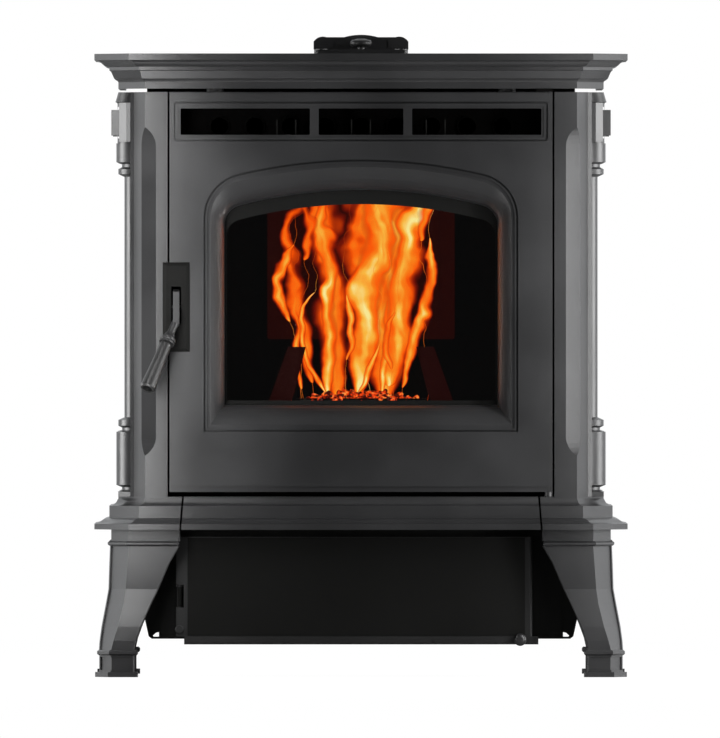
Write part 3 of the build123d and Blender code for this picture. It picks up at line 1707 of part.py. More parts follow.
def screw_shanks(radius):
    """The cover screws' shanks, or their holes, as one shape."""
    shanks = None
    for x in (-screw_x, screw_x):
        for z in screw_rows:
            shank = rod((x, body_depth - 12, z), (x, body_depth + sheet, z), radius)
            shanks = shank if shanks is None else shanks + shank
    return shanks


def make_casing_screws():
    """Pan-head screws that hold the rear cover to the side castings."""
    back = body_depth + sheet
    screws = []
    for x in (-screw_x, screw_x):
        for z in screw_rows:
            head = rod((x, back, z), (x, back + 2.6, z), 4.2)
            head = chamfer(head.edges().sort_by(Axis.Y)[-1], 1.0)
            screws.append(head + rod((x, body_depth - 12, z), (x, back, z), screw_radius))
    return group(screws)


def make_power_inlet():
    """Appliance inlet socket in the rear cover, with its three blades."""
    back = body_depth + sheet
    body = slab(
        rectangle(inlet_x - 13.8, inlet_x + 13.8, inlet_z - 9.8, inlet_z + 9.8, 2),
        body_depth - 22, back,
    )
    body += slab(
        rectangle(inlet_x - 24, inlet_x + 24, inlet_z - 13, inlet_z + 13, 4), back, back + 3
    )
    body -= slab(
        rectangle(inlet_x - 11.5, inlet_x + 11.5, inlet_z - 7.5, inlet_z + 7.5, 2),
        body_depth - 14, back + 4,
    )
    for x, z in ((-6, -2), (0, 2), (6, -2)):
        body += block(
            inlet_x + x - 1, inlet_x + x + 1, body_depth - 15, back - 1, inlet_z + z - 2.5,
            inlet_z + z + 2.5,
        )
    return body


def make_control_box():
    """Control board housing on the inside of the left side casting."""
    x_low = -side_half + side_wall
    box = block(x_low, x_low + 26, 180, 300, 440, 620)
    box = fillet(box.edges().filter_by(Axis.X), 4)
    for row in range(6):
        z = 470 + row * 24
        box -= block(x_low + 24, x_low + 27, 200, 280, z, z + 6)
    return box


# ---------------------------------------------------------------- ash compartment
ash_hinge_axis_y = ash_front + 6.4
ash_frame_front = ash_front + 16


def make_ash_box():
    """Sheet box under the base: front plate with flared lower corners, sides, bottom, back and hinge."""
    front = ash_frame_front
    top = floor_top - floor_plate_thickness
    half = ash_half
    box = block(-half, half, front, ash_back, ash_low, top)
    box -= block(
        -half + sheet, half - sheet, front + sheet, ash_back - sheet, ash_low + sheet, top + 1
    )
    wing = [(-half - 1.9, top), (-half - 1.9, ash_low + 80), (-half - 20.9, ash_low + 27.3)]
    wing += [(-half - 15.6, ash_low + 3.2), (-half - 11.5, ash_low)]
    wing += [(-x, z) for x, z in reversed(wing)]
    plate = slab(make_face(Polyline(*wing, close=True)), front + wing_step, front + wing_step + sheet)
    notch = make_face(
        Polyline(
            (-half - 10.0, ash_low + 4.2), (-half - 5.9, ash_low + 7.8), (-half - 2.2, ash_low + 8.6),
            (-half - 2.2, ash_low + 2.8), (-half - 9.2, ash_low + 2.8), close=True,
        )
    )
    plate -= slab(notch, front - 1, front + sheet + 4)
    plate -= mirror(slab(notch, front - 1, front + sheet + 4), about=Plane.YZ)
    box += plate
    box += block(-half + 8.5, -half + 17.5, front - 2.5, front + 1, ash_low + 2.2, ash_low + 57.5)
    box += block(-half + 0.1, -half + 17.5, front - 2.5, front + 1, ash_low + 55, ash_low + 60)
    box -= block(
        ash_strip_left + 13.6, ash_knob_x + 1, front - 1, front + sheet + 4, ash_low + sheet,
        ash_low + 126,
    )
    for low, high in knuckle_rows:
        box += Pos(ash_hinge_axis_x, ash_hinge_axis_y, low) * Cylinder(
            knuckle_radius, high - low, align=(Align.CENTER, Align.CENTER, Align.MIN)
        )
        box += block(
            ash_hinge_axis_x - 1.2, ash_hinge_axis_x + 1.2, ash_hinge_axis_y, front + 1, low, high
        )
    return box - ash_pin(ash_pin_radius)


def ash_pin(radius):
    """The ash door's long hinge pin, or its hole."""
    return rod(
        (ash_hinge_axis_x, ash_hinge_axis_y, ash_low + 18),
        (ash_hinge_axis_x, ash_hinge_axis_y, ash_low + 124), radius,
    )


def make_ash_door():
    """Folded steel door: flat face, hinge strip on the left, rolled right edge and rounded foot rail."""
    back = ash_front + sheet
    door = slab(
        rectangle(ash_strip_left, ash_edge_x, ash_door_low, ash_door_high, 1.5), ash_front, back
    )
    door -= slab(
        rectangle(ash_strip_left - 1, ash_strip_left + 9.8, ash_low + 40.6, ash_low + 70.4),
        ash_front - 1, back + 1,
    )
    door += rod(
        (ash_edge_x, ash_front + ash_edge_radius, ash_door_low),
        (ash_edge_x, ash_front + ash_edge_radius, ash_door_high), ash_edge_radius,
    )
    rail = Polyline((ash_front - 1, strip_high), (ash_front - 1, strip_low + 3)) + ThreePointArc(
        (ash_front - 1, strip_low + 3), (ash_front - 0.1, strip_low + 0.9),
        (ash_front + 2, strip_low),
    )
    rail += Polyline(
        (ash_front + 2, strip_low), (ash_front + 7, strip_low), (ash_front + 7, strip_high),
        (ash_front - 1, strip_high),
    )
    door += across(make_face(rail), ash_strip_left + 10.2, ash_edge_x + 11.7)
    for low, high in ((ash_low + 19.0, ash_low + 41.2), (ash_low + 67.8, ash_low + 99.7)):
        door += Pos(ash_hinge_axis_x, ash_hinge_axis_y, low) * Cylinder(
            4.6, high - low, align=(Align.CENTER, Align.CENTER, Align.MIN)
        )
    door -= ash_pin(ash_pin_radius + pin_clearance)
    door += ash_screw_heads()
    return door - rod(
        (ash_knob_x, ash_front - 2, ash_knob_z), (ash_knob_x, ash_front + 12, ash_knob_z),
        3.0 + pin_clearance,
    )


def make_ash_door_panel():
    """Dark painted panel on the ash door's face."""
    corner = Polyline(
        (ash_door_left, ash_door_low + 1), (ash_door_right, ash_door_low + 1),
        (ash_door_right, ash_door_high - 1), (ash_door_left, ash_door_high - 1), close=True,
    )
    return slab(make_face(corner), ash_front - 1.0, ash_front)


def ash_screw_heads():
    """Screw heads on the ash door: a large one below the hinge and two on the foot rail."""
    large = rod(
        (ash_hinge_axis_x - 0.6, ash_front - 3.5, ash_low + 12.3),
        (ash_hinge_axis_x - 0.6, ash_front + 1, ash_low + 12.3), 5.6,
    )
    heads = chamfer(large.edges().sort_by(Axis.Y)[0], 1.2)
    for x in (-97.0, 97.0):
        heads += rod((x, ash_front - 2.4, ash_low - 2), (x, ash_front, ash_low - 2), 3.0)
    return heads


def make_ash_latch():
    """Domed turn knob at the door's lower right with its cam bar behind the rail."""
    y = ash_front - 1
    profile = Polyline(
        (0, 0), (5.4, 0), (5.4, 2), (8.2, 3.5), (8.2, 6)
    ) + ThreePointArc((8.2, 6), (6.4, 9.4), (2.5, 11))
    profile += Polyline((2.5, 11), (0, 11), (0, 0))
    dome = revolve(Plane.XZ * make_face(profile), axis=Axis.Z)
    knob = Pos(ash_knob_x, y - touch_gap, ash_knob_z) * Rot(90, 0, 0) * dome
    knob += rod((ash_knob_x, y - 1, ash_knob_z), (ash_knob_x, ash_front + 11, ash_knob_z), 3.0)
    bar_low = ash_front + 7 + touch_gap
    bar = rectangle(
        ash_knob_x - 9.5, ash_knob_x + 23.5, ash_knob_z - 4.5, ash_knob_z + 2.5, 2
    )
    knob += slab(bar, bar_low, bar_low + 3)
    return knob


def make_ash_pan():
    """Folded pan with a rim and a strap handle."""
    low = ash_low + sheet + touch_gap
    high = low + ash_pan_height
    back = ash_pan_front + ash_pan_depth
    half = ash_pan_half
    outer = Plane.XY.offset(low) * rectangle(-half + 8, half - 8, ash_pan_front + 8, back - 8, 6)
    outer_top = Plane.XY.offset(high) * rectangle(-half, half, ash_pan_front, back, 8)
    inner = Plane.XY.offset(low + sheet) * rectangle(
        -half + 10, half - 10, ash_pan_front + 10, back - 10, 5
    )
    inner_top = Plane.XY.offset(high + 1) * rectangle(
        -half + 2, half - 2, ash_pan_front + 2, back - 2, 6
    )
    pan = loft([outer, outer_top], ruled=True)
    pan -= loft([inner, inner_top], ruled=True)
    handle = block(-46, 46, ash_pan_front - 22, ash_pan_front - 20, low + 50, low + 66)
    for side in (-1, 1):
        x_low, x_high = sorted((side * 44, side * 46))
        handle += block(x_low, x_high, ash_pan_front - 22, ash_pan_front + 4, low + 50, low + 66)
    return pan + handle


# ---------------------------------------------------------------- control console on the top plate
tier_half = console_half - tier_set_in
console_back = console_front + console_depth
cover_low = stove_top + console_base
cover_axis_y = console_back - 6
cover_axis_z = cover_low + 4
knob_y = console_front - 16.5


def console_outline(inset):
    """Front outline of the cover: upright ends, rounded shoulders and a low raised middle."""
    half = console_half - inset
    top = stove_top + console_height - inset
    shoulder = top - 3.1
    low = cover_low + touch_gap - (1 if inset else 0)
    right = Polyline((0, low), (half, low), (half, low + 9.6))
    right += ThreePointArc((half, low + 9.6), (half - 3.4, low + 13.4), (half - 16.5, shoulder))
    dome = dome_half - inset
    right += Line((half - 16.5, shoulder), (dome, shoulder))
    right += ThreePointArc((dome, shoulder), (dome / 2, top - 0.78), (0, top))
    right += Polyline((0, top), (0, low))
    face = make_face(right)
    return face + mirror(face, about=Plane.YZ)


def make_console_base():
    """Low tier screwed to the top plate, with the keypad and the display under the cover."""
    base = flat(
        rectangle(-tier_half, tier_half, console_front - 32, console_back - 2, 6), stove_top,
        cover_low,
    )
    base += flat(
        rectangle(-44, 44, console_front + 12, console_back - 22, 4), cover_low, cover_low + 4
    )
    base -= flat(
        rectangle(-30, 30, console_back - 48, console_back - 28, 2), cover_low + 3, cover_low + 5
    )
    for x in (-30, -10, 10, 30):
        base += Pos(x, console_front + 26, cover_low + 4) * Cylinder(
            6, 1.0, align=(Align.CENTER, Align.CENTER, Align.MIN)
        )
    ears = 8.0
    for side in (-1, 1):
        x_low, x_high = sorted((side * 50, side * 54))
        base += block(
            x_low, x_high, cover_axis_y - 3, cover_axis_y + 3, cover_low, cover_low + ears
        )
        wall_x = console_half - cover_wall - 0.6
        x_low, x_high = sorted((side * wall_x, side * (console_half + 1)))
        base -= block(
            x_low, x_high, cover_axis_y - cover_swing, console_back, cover_low - 4.2, cover_low + 1
        )
    pin = cover_pin_radius + pin_clearance
    base -= rod(
        (-tier_half, cover_axis_y, cover_axis_z), (tier_half, cover_axis_y, cover_axis_z), pin
    )
    return base - rod(
        (0, knob_y, stove_top + 1), (0, knob_y, cover_low + 1), knob_stem + pin_clearance
    )


def make_control_cover():
    """Flip-up cover: a hollow shell on two stub pins at its back corners."""
    outer = slab(console_outline(0), console_front, console_back)
    front_edges = outer.edges().group_by(Axis.Y)[0]
    cover = outer - slab(console_outline(cover_wall), console_front + cover_wall, console_back + 1)
    panel = rectangle(-35, 35, cover_low + 1.8, cover_low + 12.2, 2)
    cover -= slab(panel, console_front - 1, console_front + 1.2)
    for side in (-1, 1):
        x_low, x_high = sorted((side * 50.5, side * (console_half - 1)))
        cover += rod(
            (x_low, cover_axis_y, cover_axis_z), (x_high, cover_axis_y, cover_axis_z),
            cover_pin_radius,
        )
    return cover


def make_control_knob():
    """Low mushroom knob on a short stem in front of the cover."""
    low = stove_top
    profile = Polyline(
        (0, 1.5), (knob_stem, 1.5), (knob_stem, console_base + touch_gap),
        (4.8, console_base + touch_gap), (4.8, 8.6), (9, 9.2),
    )
    profile += ThreePointArc((9, 9.2), (14.4, 13.4), (9, 18.2))
    profile += ThreePointArc((9, 18.2), (6.2, 19.3), (3.0, 19.6))
    profile += Polyline((3.0, 19.6), (0, 19.6), (0, 1.5))
    turned = revolve(Plane.XZ * make_face(profile), axis=Axis.Z)
    return Pos(0, knob_y, low) * turned


# ---------------------------------------------------------------- all pieces
def make_all_hinge_pins():
    """Every hinge pin that stays with the body: door, lid and ash door."""
    door_pins = make_hinge_pins()
    return group([*door_pins.solids(), *lid_pins(), ash_pin(ash_pin_radius)])


base_left, base_right, base_skirt = make_base()
legs = make_legs()
left_post, right_post = both_sides(make_left_post())
left_side, right_side = both_sides(make_left_side() - screw_shanks(screw_radius + pin_clearance))

pieces = {
    "top_plate": make_top_plate(),
    "hopper_lid": make_hopper_lid(),
    "hinge_pins": make_all_hinge_pins(),
    "base_left": base_left,
    "base_right": base_right,
    "base_front_skirt": base_skirt,
    "floor_plate": make_floor_plate(),
    "front_left_leg": legs[0],
    "front_right_leg": legs[1],
    "rear_left_leg": legs[2],
    "rear_right_leg": legs[3],
    "left_corner_post": left_post,
    "right_corner_post": right_post,
    "left_side_panel": left_side,
    "right_side_panel": right_side,
    "front_door": make_door(),
    "glass_frame": make_glass_frame(),
    "glass_tape": make_glass_gasket(),
    "door_glass": make_door_glass(),
    "glass_clips": make_glass_clips(),
    "door_rope_seal": make_door_gasket(),
    "grille_brackets": make_grille_clips(),
    "latch_plate": make_latch_plate(),
    "door_lever": make_door_lever(),
    "handle_ferrule": make_handle_ferrule(),
    "handle_grip": make_handle_grip(),
    "firebox_shell": make_firebox_shell(),
    "firebox_front": make_firebox_front(),
    "exchanger_tubes": make_exchanger_tubes(),
    "hearth_plate": make_hearth_plate(),
    "burn_pot": make_burn_pot(),
    "pot_floor": make_pot_floor(),
    "igniter": make_igniter(),
    "back_panels": make_back_panels(),
    "feed_chute": make_feed_chute(),
    "auger_tube": make_auger_tube(),
    "feed_auger": make_feed_auger(),
    "auger_gearmotor": make_auger_gearmotor(),
    "pellet_hopper": make_hopper(),
    "exhaust_duct": make_exhaust_duct(),
    "exhaust_housing": make_exhaust_housing(),
    "exhaust_impeller": make_exhaust_impeller(),
    "blower_motors": make_blower_motors(),
    "flue_collar": make_flue_collar(),
    "air_intake_pipe": make_intake_pipe(),
    "fan_housing": make_fan_housing(),
    "fan_wheel": make_fan_wheel(),
    "air_plenum": make_air_plenum(),
    "rear_cover": make_rear_cover(),
    "casing_screws": make_casing_screws(),
    "power_inlet": make_power_inlet(),
    "control_box": make_control_box(),
    "ash_box": make_ash_box(),
    "ash_door": make_ash_door(),
    "ash_door_panel": make_ash_door_panel(),
    "ash_latch": make_ash_latch(),
    "ash_pan": make_ash_pan(),
    "console_base": make_console_base(),
    "control_cover": make_control_cover(),
    "control_knob": make_control_knob(),
}

# The grip reaches furthest forward and the vent collar furthest back.
front_reach = pieces["handle_grip"].bounding_box().min.Y
rear_reach = body_depth + flue_reach
middle = (front_reach + rear_reach) / 2

os.makedirs("parts", exist_ok=True)
for name, piece in pieces.items():
    export_step(Pos(0, -middle, 0) * piece, f"parts/{name}.step")

print("pieces", len(pieces), "shift", round(-middle, 3), "flue", exhaust_x, round(flue_z, 2))
print("door pin", door_pin_x, door_pin_y, "fan", fan_x, fan_y, fan_z)
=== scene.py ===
# %% [markdown]
# # A pellet stove, dressed for its portrait
# The stove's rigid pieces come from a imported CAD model. This lesson gives them their paint, iron and
# glass, adds what a maker would not machine, such as embers and flames, and lights them like a
# catalogue picture. Every length is in metres, +Z is up and +Y runs back towards the wall.

# %% Load the frame
import bpy
import json
import math
import random
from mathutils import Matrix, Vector


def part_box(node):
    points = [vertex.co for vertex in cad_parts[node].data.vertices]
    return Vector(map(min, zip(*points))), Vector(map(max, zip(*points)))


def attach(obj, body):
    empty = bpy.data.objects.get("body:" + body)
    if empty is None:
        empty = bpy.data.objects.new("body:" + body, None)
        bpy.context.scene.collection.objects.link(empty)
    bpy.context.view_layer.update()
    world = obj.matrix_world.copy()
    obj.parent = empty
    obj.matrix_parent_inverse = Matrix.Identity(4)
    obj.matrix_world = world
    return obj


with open("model.json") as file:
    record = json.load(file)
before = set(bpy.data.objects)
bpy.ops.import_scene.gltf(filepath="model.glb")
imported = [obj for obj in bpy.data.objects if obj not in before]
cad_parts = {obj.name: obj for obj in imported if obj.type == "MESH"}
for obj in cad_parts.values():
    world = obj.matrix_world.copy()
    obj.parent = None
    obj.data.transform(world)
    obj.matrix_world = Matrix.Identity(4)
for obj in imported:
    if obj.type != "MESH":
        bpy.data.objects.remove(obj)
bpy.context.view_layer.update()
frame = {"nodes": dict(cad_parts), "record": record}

# %% [markdown]
# ## Camera
# A catalogue camera stands far away with a long lens, so that the stove's verticals stay upright. It
# stands level with the window and tips down by less than a tenth of a degree to centre the stove.

# %% Camera
def aim(thing, target):
    """Turns a lamp or camera so that it looks at a point."""
    thing.rotation_euler = (Vector(target) - thing.location).to_track_quat("-Z", "Y").to_euler()


camera_data = bpy.data.cameras.new("portrait_camera")
camera = bpy.data.objects.new("portrait_camera", camera_data)
bpy.context.collection.objects.link(camera)
bpy.context.scene.camera = camera
door_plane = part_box("left_corner_post")[0].y
camera_distance = 60.0
camera_x = -0.0013
eye_height = 0.49
aim_height = 0.4004
view_span = 0.9594
sensor_width = 36
camera.location = (camera_x, door_plane - camera_distance, eye_height)
aim(camera, (camera_x, door_plane, aim_height))
camera_data.sensor_width = sensor_width
camera_data.lens = sensor_width * camera_distance / view_span
camera_data.clip_end = 100
print("camera at", tuple(round(v, 3) for v in camera.location), "lens", round(camera_data.lens, 1))

# %% [markdown]
# ## Studio
# Two tall soft boxes beside the stove light its columns and facets. Two narrow panels hang close to the
# front and are hidden from the camera: the left one makes the castings bright there and lets them fade
# towards the middle, and the right one does the same more weakly. A strip further out picks out the
# right chamfer. The fill above the camera and the box overhead stay weak. Floor and backdrop show as
# white to the camera. To other rays the floor is grey paper, and the room is white only behind.

# %% Lamps
def soft_box(name, place, target, width, height, power):
    """A rectangular area lamp that looks at a point."""
    data = bpy.data.lights.new(name, "AREA")
    data.shape = "RECTANGLE"
    data.size = width
    data.size_y = height
    data.energy = power
    lamp = bpy.data.objects.new(name, data)
    bpy.context.collection.objects.link(lamp)
    lamp.location = place
    aim(lamp, target)
    return lamp


# Each lamp: name, place, the point it looks at, width, height and power in watts.
far_lamps = [
    ("left_side_box", (-2.3, 0.15, 0.5), (-0.3, 0.1, 0.45), 1.0, 1.8, 62),
    ("right_side_box", (2.3, 0.15, 0.5), (0.3, 0.1, 0.45), 1.0, 1.8, 60),
    ("right_strip", (0.66, -0.60, 0.5), (0.27, -0.25, 0.5), 0.1, 1.3, 9),
    ("front_fill", (-0.2, -3.6, 2.2), (0, 0, 0.4), 1.4, 0.8, 0.6),
    ("top_box", (0, -0.1, 2.6), (0, 0, 0.5), 1.6, 1.4, 4),
]
near_lamps = [
    ("left_near_panel", (-0.33, -0.54, 0.53), (-0.29, -0.25, 0.53), 0.1, 0.75, 2.9),
    ("right_near_panel", (0.36, -0.54, 0.53), (0.31, -0.25, 0.53), 0.1, 0.75, 0.8),
]
for lamp_sizes in far_lamps:
    soft_box(*lamp_sizes)
for lamp_sizes in near_lamps:
    soft_box(*lamp_sizes).visible_camera = False

# %% World and white surroundings
def white_room():
    """White to the camera. Other rays see a dim room in front that brightens behind the stove."""
    world = bpy.data.worlds.new("white_room")
    world.use_nodes = True
    nodes, join = world.node_tree.nodes, world.node_tree.links.new
    nodes.clear()
    out = nodes.new("ShaderNodeOutputWorld")
    path = nodes.new("ShaderNodeLightPath")
    seen = nodes.new("ShaderNodeBackground")
    seen.inputs["Color"].default_value = (1, 1, 1, 1)
    place = nodes.new("ShaderNodeTexCoord")
    split = nodes.new("ShaderNodeSeparateXYZ")
    behind = nodes.new("ShaderNodeMapRange")
    behind.inputs["From Min"].default_value = 0.1
    behind.inputs["From Max"].default_value = 0.7
    behind.inputs["To Min"].default_value = 0.04
    behind.inputs["To Max"].default_value = 1.0
    dim = nodes.new("ShaderNodeBackground")
    dim.inputs["Color"].default_value = (0.96, 0.98, 1, 1)
    mix = nodes.new("ShaderNodeMixShader")
    join(place.outputs["Generated"], split.inputs["Vector"])
    join(split.outputs["Y"], behind.inputs["Value"])
    join(behind.outputs["Result"], dim.inputs["Strength"])
    join(path.outputs["Is Camera Ray"], mix.inputs["Fac"])
    join(dim.outputs["Background"], mix.inputs[1])
    join(seen.outputs["Background"], mix.inputs[2])
    join(mix.outputs["Shader"], out.inputs["Surface"])
    return world


bpy.context.scene.world = white_room()
bpy.context.scene.view_settings.view_transform = "Standard"


def white_paper():
    """Pale matt paper. To the camera most of it is plain white, so that only a soft shadow stays."""
    paper = bpy.data.materials.new("white_paper")
    paper.use_nodes = True
    nodes = paper.node_tree.nodes
    join = paper.node_tree.links.new
    matt = nodes["Principled BSDF"]
    matt.inputs["Base Color"].default_value = (0.4, 0.4, 0.4, 1)
    matt.inputs["Roughness"].default_value = 0.9
    glow = nodes.new("ShaderNodeEmission")
    glow.inputs["Color"].default_value = (1, 1, 1, 1)
    glow.inputs["Strength"].default_value = 1.09
    path = nodes.new("ShaderNodeLightPath")
    share = nodes.new("ShaderNodeMath")
    share.operation = "MULTIPLY"
    share.inputs[1].default_value = 0.9
    mix = nodes.new("ShaderNodeMixShader")
    join(path.outputs["Is Camera Ray"], share.inputs[0])
    join(share.outputs["Value"], mix.inputs["Fac"])
    join(matt.outputs["BSDF"], mix.inputs[1])
    join(glow.outputs["Emission"], mix.inputs[2])
    join(mix.outputs["Shader"], nodes["Material Output"].inputs["Surface"])
    return paper


bpy.ops.object.select_all(action="DESELECT")
floor_size, floor_gap = 12, 0.0005
bpy.ops.mesh.primitive_plane_add(size=floor_size, location=(0, 0, -floor_gap))
floor = bpy.context.object
floor.name = "paper_floor"
bpy.ops.object.transform_apply(location=True)
floor.data.materials.append(white_paper())

# %% [markdown]
# ## Shared surface effects
# Cast iron and painted sheet differ in scale, not in kind: both have a fine grain that breaks the gloss,
# and faint clouds where the paint is thicker. One node group makes both.

# %% Node group: painted grain
def grain_group():
    """Colour, roughness and normal of a painted surface, from a fine grain and soft clouds."""
    group = bpy.data.node_groups.new("painted_grain", "ShaderNodeTree")
    face = group.interface
    face.new_socket("Dark", in_out="INPUT", socket_type="NodeSocketColor")
    face.new_socket("Light", in_out="INPUT", socket_type="NodeSocketColor")
    usual = (("Grain Scale", 900.0), ("Cloud Scale", 9.0), ("Bump", 0.2), ("Roughness", 0.45))
    for name, value in usual:
        face.new_socket(name, in_out="INPUT", socket_type="NodeSocketFloat").default_value = value
    face.new_socket("Color", in_out="OUTPUT", socket_type="NodeSocketColor")
    face.new_socket("Roughness", in_out="OUTPUT", socket_type="NodeSocketFloat")
    face.new_socket("Normal", in_out="OUTPUT", socket_type="NodeSocketVector")
    nodes, join = group.nodes, group.links.new
    given, made = nodes.new("NodeGroupInput"), nodes.new("NodeGroupOutput")
    place = nodes.new("ShaderNodeTexCoord")
    grain = nodes.new("ShaderNodeTexNoise")
    cloud = nodes.new("ShaderNodeTexNoise")
    grain.inputs["Detail"].default_value = 3
    cloud.inputs["Detail"].default_value = 4
    for texture, scale in ((grain, "Grain Scale"), (cloud, "Cloud Scale")):
        join(place.outputs["Object"], texture.inputs["Vector"])
        join(given.outputs[scale], texture.inputs["Scale"])
    both = nodes.new("ShaderNodeMath")
    both.operation = "MULTIPLY_ADD"
    both.inputs[1].default_value = 0.45
    join(grain.outputs["Fac"], both.inputs[0])
    join(cloud.outputs["Fac"], both.inputs[2])
    spread = nodes.new("ShaderNodeMapRange")
    spread.inputs["From Min"].default_value = 0.5
    spread.inputs["From Max"].default_value = 1.0
    join(both.outputs["Value"], spread.inputs["Value"])
    tint = nodes.new("ShaderNodeMix")
    tint.data_type = "RGBA"
    join(spread.outputs["Result"], tint.inputs["Factor"])
    join(given.outputs["Dark"], tint.inputs["A"])
    join(given.outputs["Light"], tint.inputs["B"])
    join(tint.outputs["Result"], made.inputs["Color"])
    rough = nodes.new("ShaderNodeMath")
    rough.operation = "MULTIPLY_ADD"
    rough.inputs[1].default_value = 0.16
    join(spread.outputs["Result"], rough.inputs[0])
    join(given.outputs["Roughness"], rough.inputs[2])
    join(rough.outputs["Value"], made.inputs["Roughness"])
    bump = nodes.new("ShaderNodeBump")
    bump.inputs["Distance"].default_value = 0.0004
    join(given.outputs["Bump"], bump.inputs["Strength"])
    join(grain.outputs["Fac"], bump.inputs["Height"])
    join(bump.outputs["Normal"], made.inputs["Normal"])
    return group


painted_grain = grain_group()


def grained(name, dark, light, grain=900, cloud=9, bump=0.2, rough=0.45, metallic=0.0, gloss=0.5):
    """A Principled material whose colour, roughness and normal come from the painted grain."""
    finish = bpy.data.materials.new(name)
    finish.use_nodes = True
    nodes, join = finish.node_tree.nodes, finish.node_tree.links.new
    shader = nodes["Principled BSDF"]
    surface = nodes.new("ShaderNodeGroup")
    surface.node_tree = painted_grain
    surface.inputs["Dark"].default_value = (*dark, 1)
    surface.inputs["Light"].default_value = (*light, 1)
    surface.inputs["Grain Scale"].default_value = grain
    surface.inputs["Cloud Scale"].default_value = cloud
    surface.inputs["Bump"].default_value = bump
    surface.inputs["Roughness"].default_value = rough
    join(surface.outputs["Color"], shader.inputs["Base Color"])
    join(surface.outputs["Roughness"], shader.inputs["Roughness"])
    join(surface.outputs["Normal"], shader.inputs["Normal"])
    shader.inputs["Metallic"].default_value = metallic
    shader.inputs["Specular IOR Level"].default_value = gloss
    return finish


# %% [markdown]
# ## Finishes
# The castings have a satin charcoal paint with a fine sandy skin. The sheet parts below and behind are
# smoother and blacker. Bare steel shows only at pins, wheels, tubes and the ash pan.

# %% Paint, iron and steel
# Each finish: name, dark and light tint, grain and cloud scale, bump, roughness, then what differs.
finishes = {
    "cast_body": grained(
        "satin_charcoal_iron", (0.013, 0.013, 0.0135), (0.024, 0.024, 0.025), 1100, 8, 0.25, 0.28
    ),
    "black_sheet": grained(
        "black_sheet_paint", (0.004, 0.004, 0.0036), (0.007, 0.007, 0.0065), 700, 6, 0.12, 0.6, gloss=0.1
    ),
    "grey_sheet": grained(
        "grey_sheet_paint", (0.008, 0.008, 0.008), (0.014, 0.014, 0.014), 700, 6, 0.12, 0.45, gloss=0.3
    ),
    # The near-black steel of the firebox is partly soot and partly painted shade, so that the inside of
    # the firebox stays dark.
    "firebox_steel": grained(
        "soot_and_painted_shade_steel", (0.0008, 0.0008, 0.0008), (0.003, 0.0026, 0.0024), 240, 14, 0.5, 0.9, gloss=0.05
    ),
    # The fire iron is dark partly from its scale and partly as painted shade of the firebox inside.
    "fire_iron": grained(
        "scaled_and_painted_shade_iron", (0.006, 0.004, 0.003), (0.02, 0.014, 0.011), 300, 20, 0.7, 0.8, gloss=0.15
    ),
    "bare_steel": grained(
        "bare_steel", (0.42, 0.42, 0.43), (0.6, 0.6, 0.61), 1400, 12, 0.1, 0.25, metallic=1.0
    ),
    "plated_steel": grained(
        "black_plated_steel", (0.012, 0.012, 0.012), (0.02, 0.02, 0.021), 900, 14, 0.1, 0.3
    ),
    "grip_black": grained(
        "black_grip_paint", (0.008, 0.008, 0.008), (0.016, 0.016, 0.016), 800, 14, 0.15, 0.32
    ),
    "motor_paint": grained(
        "motor_case_paint", (0.05, 0.05, 0.055), (0.09, 0.09, 0.095), 500, 12, 0.25, 0.4
    ),
    "black_plastic": grained(
        "black_moulding", (0.008, 0.008, 0.008), (0.014, 0.014, 0.014), 1500, 10, 0.25, 0.4
    ),
}
# The panels behind the fire get painted firelight: a redder copy of the fire iron that also glows faintly
# red, standing in for the fire's light falling on them.
painted_firelight_iron = grained(
    "fire_lit_iron", (0.004, 0.001, 0.001), (0.014, 0.004, 0.003), 300, 20, 0.7, 0.8, gloss=0.1
)
lit = painted_firelight_iron.node_tree.nodes["Principled BSDF"]
lit.inputs["Emission Color"].default_value = (1.0, 0.02, 0.0, 1)
lit.inputs["Emission Strength"].default_value = 0.01

# %% [markdown]
# The window is ceramic glass, clear with a faint amber tint. The seals are woven fibre.

# %% Glass and rope
glass = bpy.data.materials.new("ceramic_glass")
glass.use_nodes = True
shader = glass.node_tree.nodes["Principled BSDF"]
shader.inputs["Base Color"].default_value = (1.0, 0.97, 0.93, 1)
shader.inputs["Roughness"].default_value = 0.0
shader.inputs["Transmission Weight"].default_value = 1.0
shader.inputs["IOR"].default_value = 1.45
finishes["door_glass"] = glass


def rope_finish():
    """Grey fibre rope: a slanted braid from two crossed wave patterns."""
    rope = bpy.data.materials.new("braided_fibre")
    rope.use_nodes = True
    nodes, join = rope.node_tree.nodes, rope.node_tree.links.new
    shader = nodes["Principled BSDF"]
    place = nodes.new("ShaderNodeTexCoord")
    waves = []
    for turn in (0.7, -0.7):
        spin = nodes.new("ShaderNodeMapping")
        spin.inputs["Rotation"].default_value = (turn, turn, turn)
        wave = nodes.new("ShaderNodeTexWave")
        wave.inputs["Scale"].default_value = 220
        join(place.outputs["Object"], spin.inputs["Vector"])
        join(spin.outputs["Vector"], wave.inputs["Vector"])
        waves.append(wave)
    braid = nodes.new("ShaderNodeMath")
    braid.operation = "MAXIMUM"
    join(waves[0].outputs["Fac"], braid.inputs[0])
    join(waves[1].outputs["Fac"], braid.inputs[1])
    ramp = nodes.new("ShaderNodeValToRGB")
    ramp.color_ramp.elements[0].color = (0.12, 0.115, 0.105, 1)
    ramp.color_ramp.elements[1].color = (0.34, 0.33, 0.30, 1)
    join(braid.outputs["Value"], ramp.inputs["Fac"])
    join(ramp.outputs["Color"], shader.inputs["Base Color"])
    bump = nodes.new("ShaderNodeBump")
    bump.inputs["Distance"].default_value = 0.0006
    join(braid.outputs["Value"], bump.inputs["Height"])
    join(bump.outputs["Normal"], shader.inputs["Normal"])
    shader.inputs["Roughness"].default_value = 0.9
    return rope


finishes["fibre_rope"] = rope_finish()

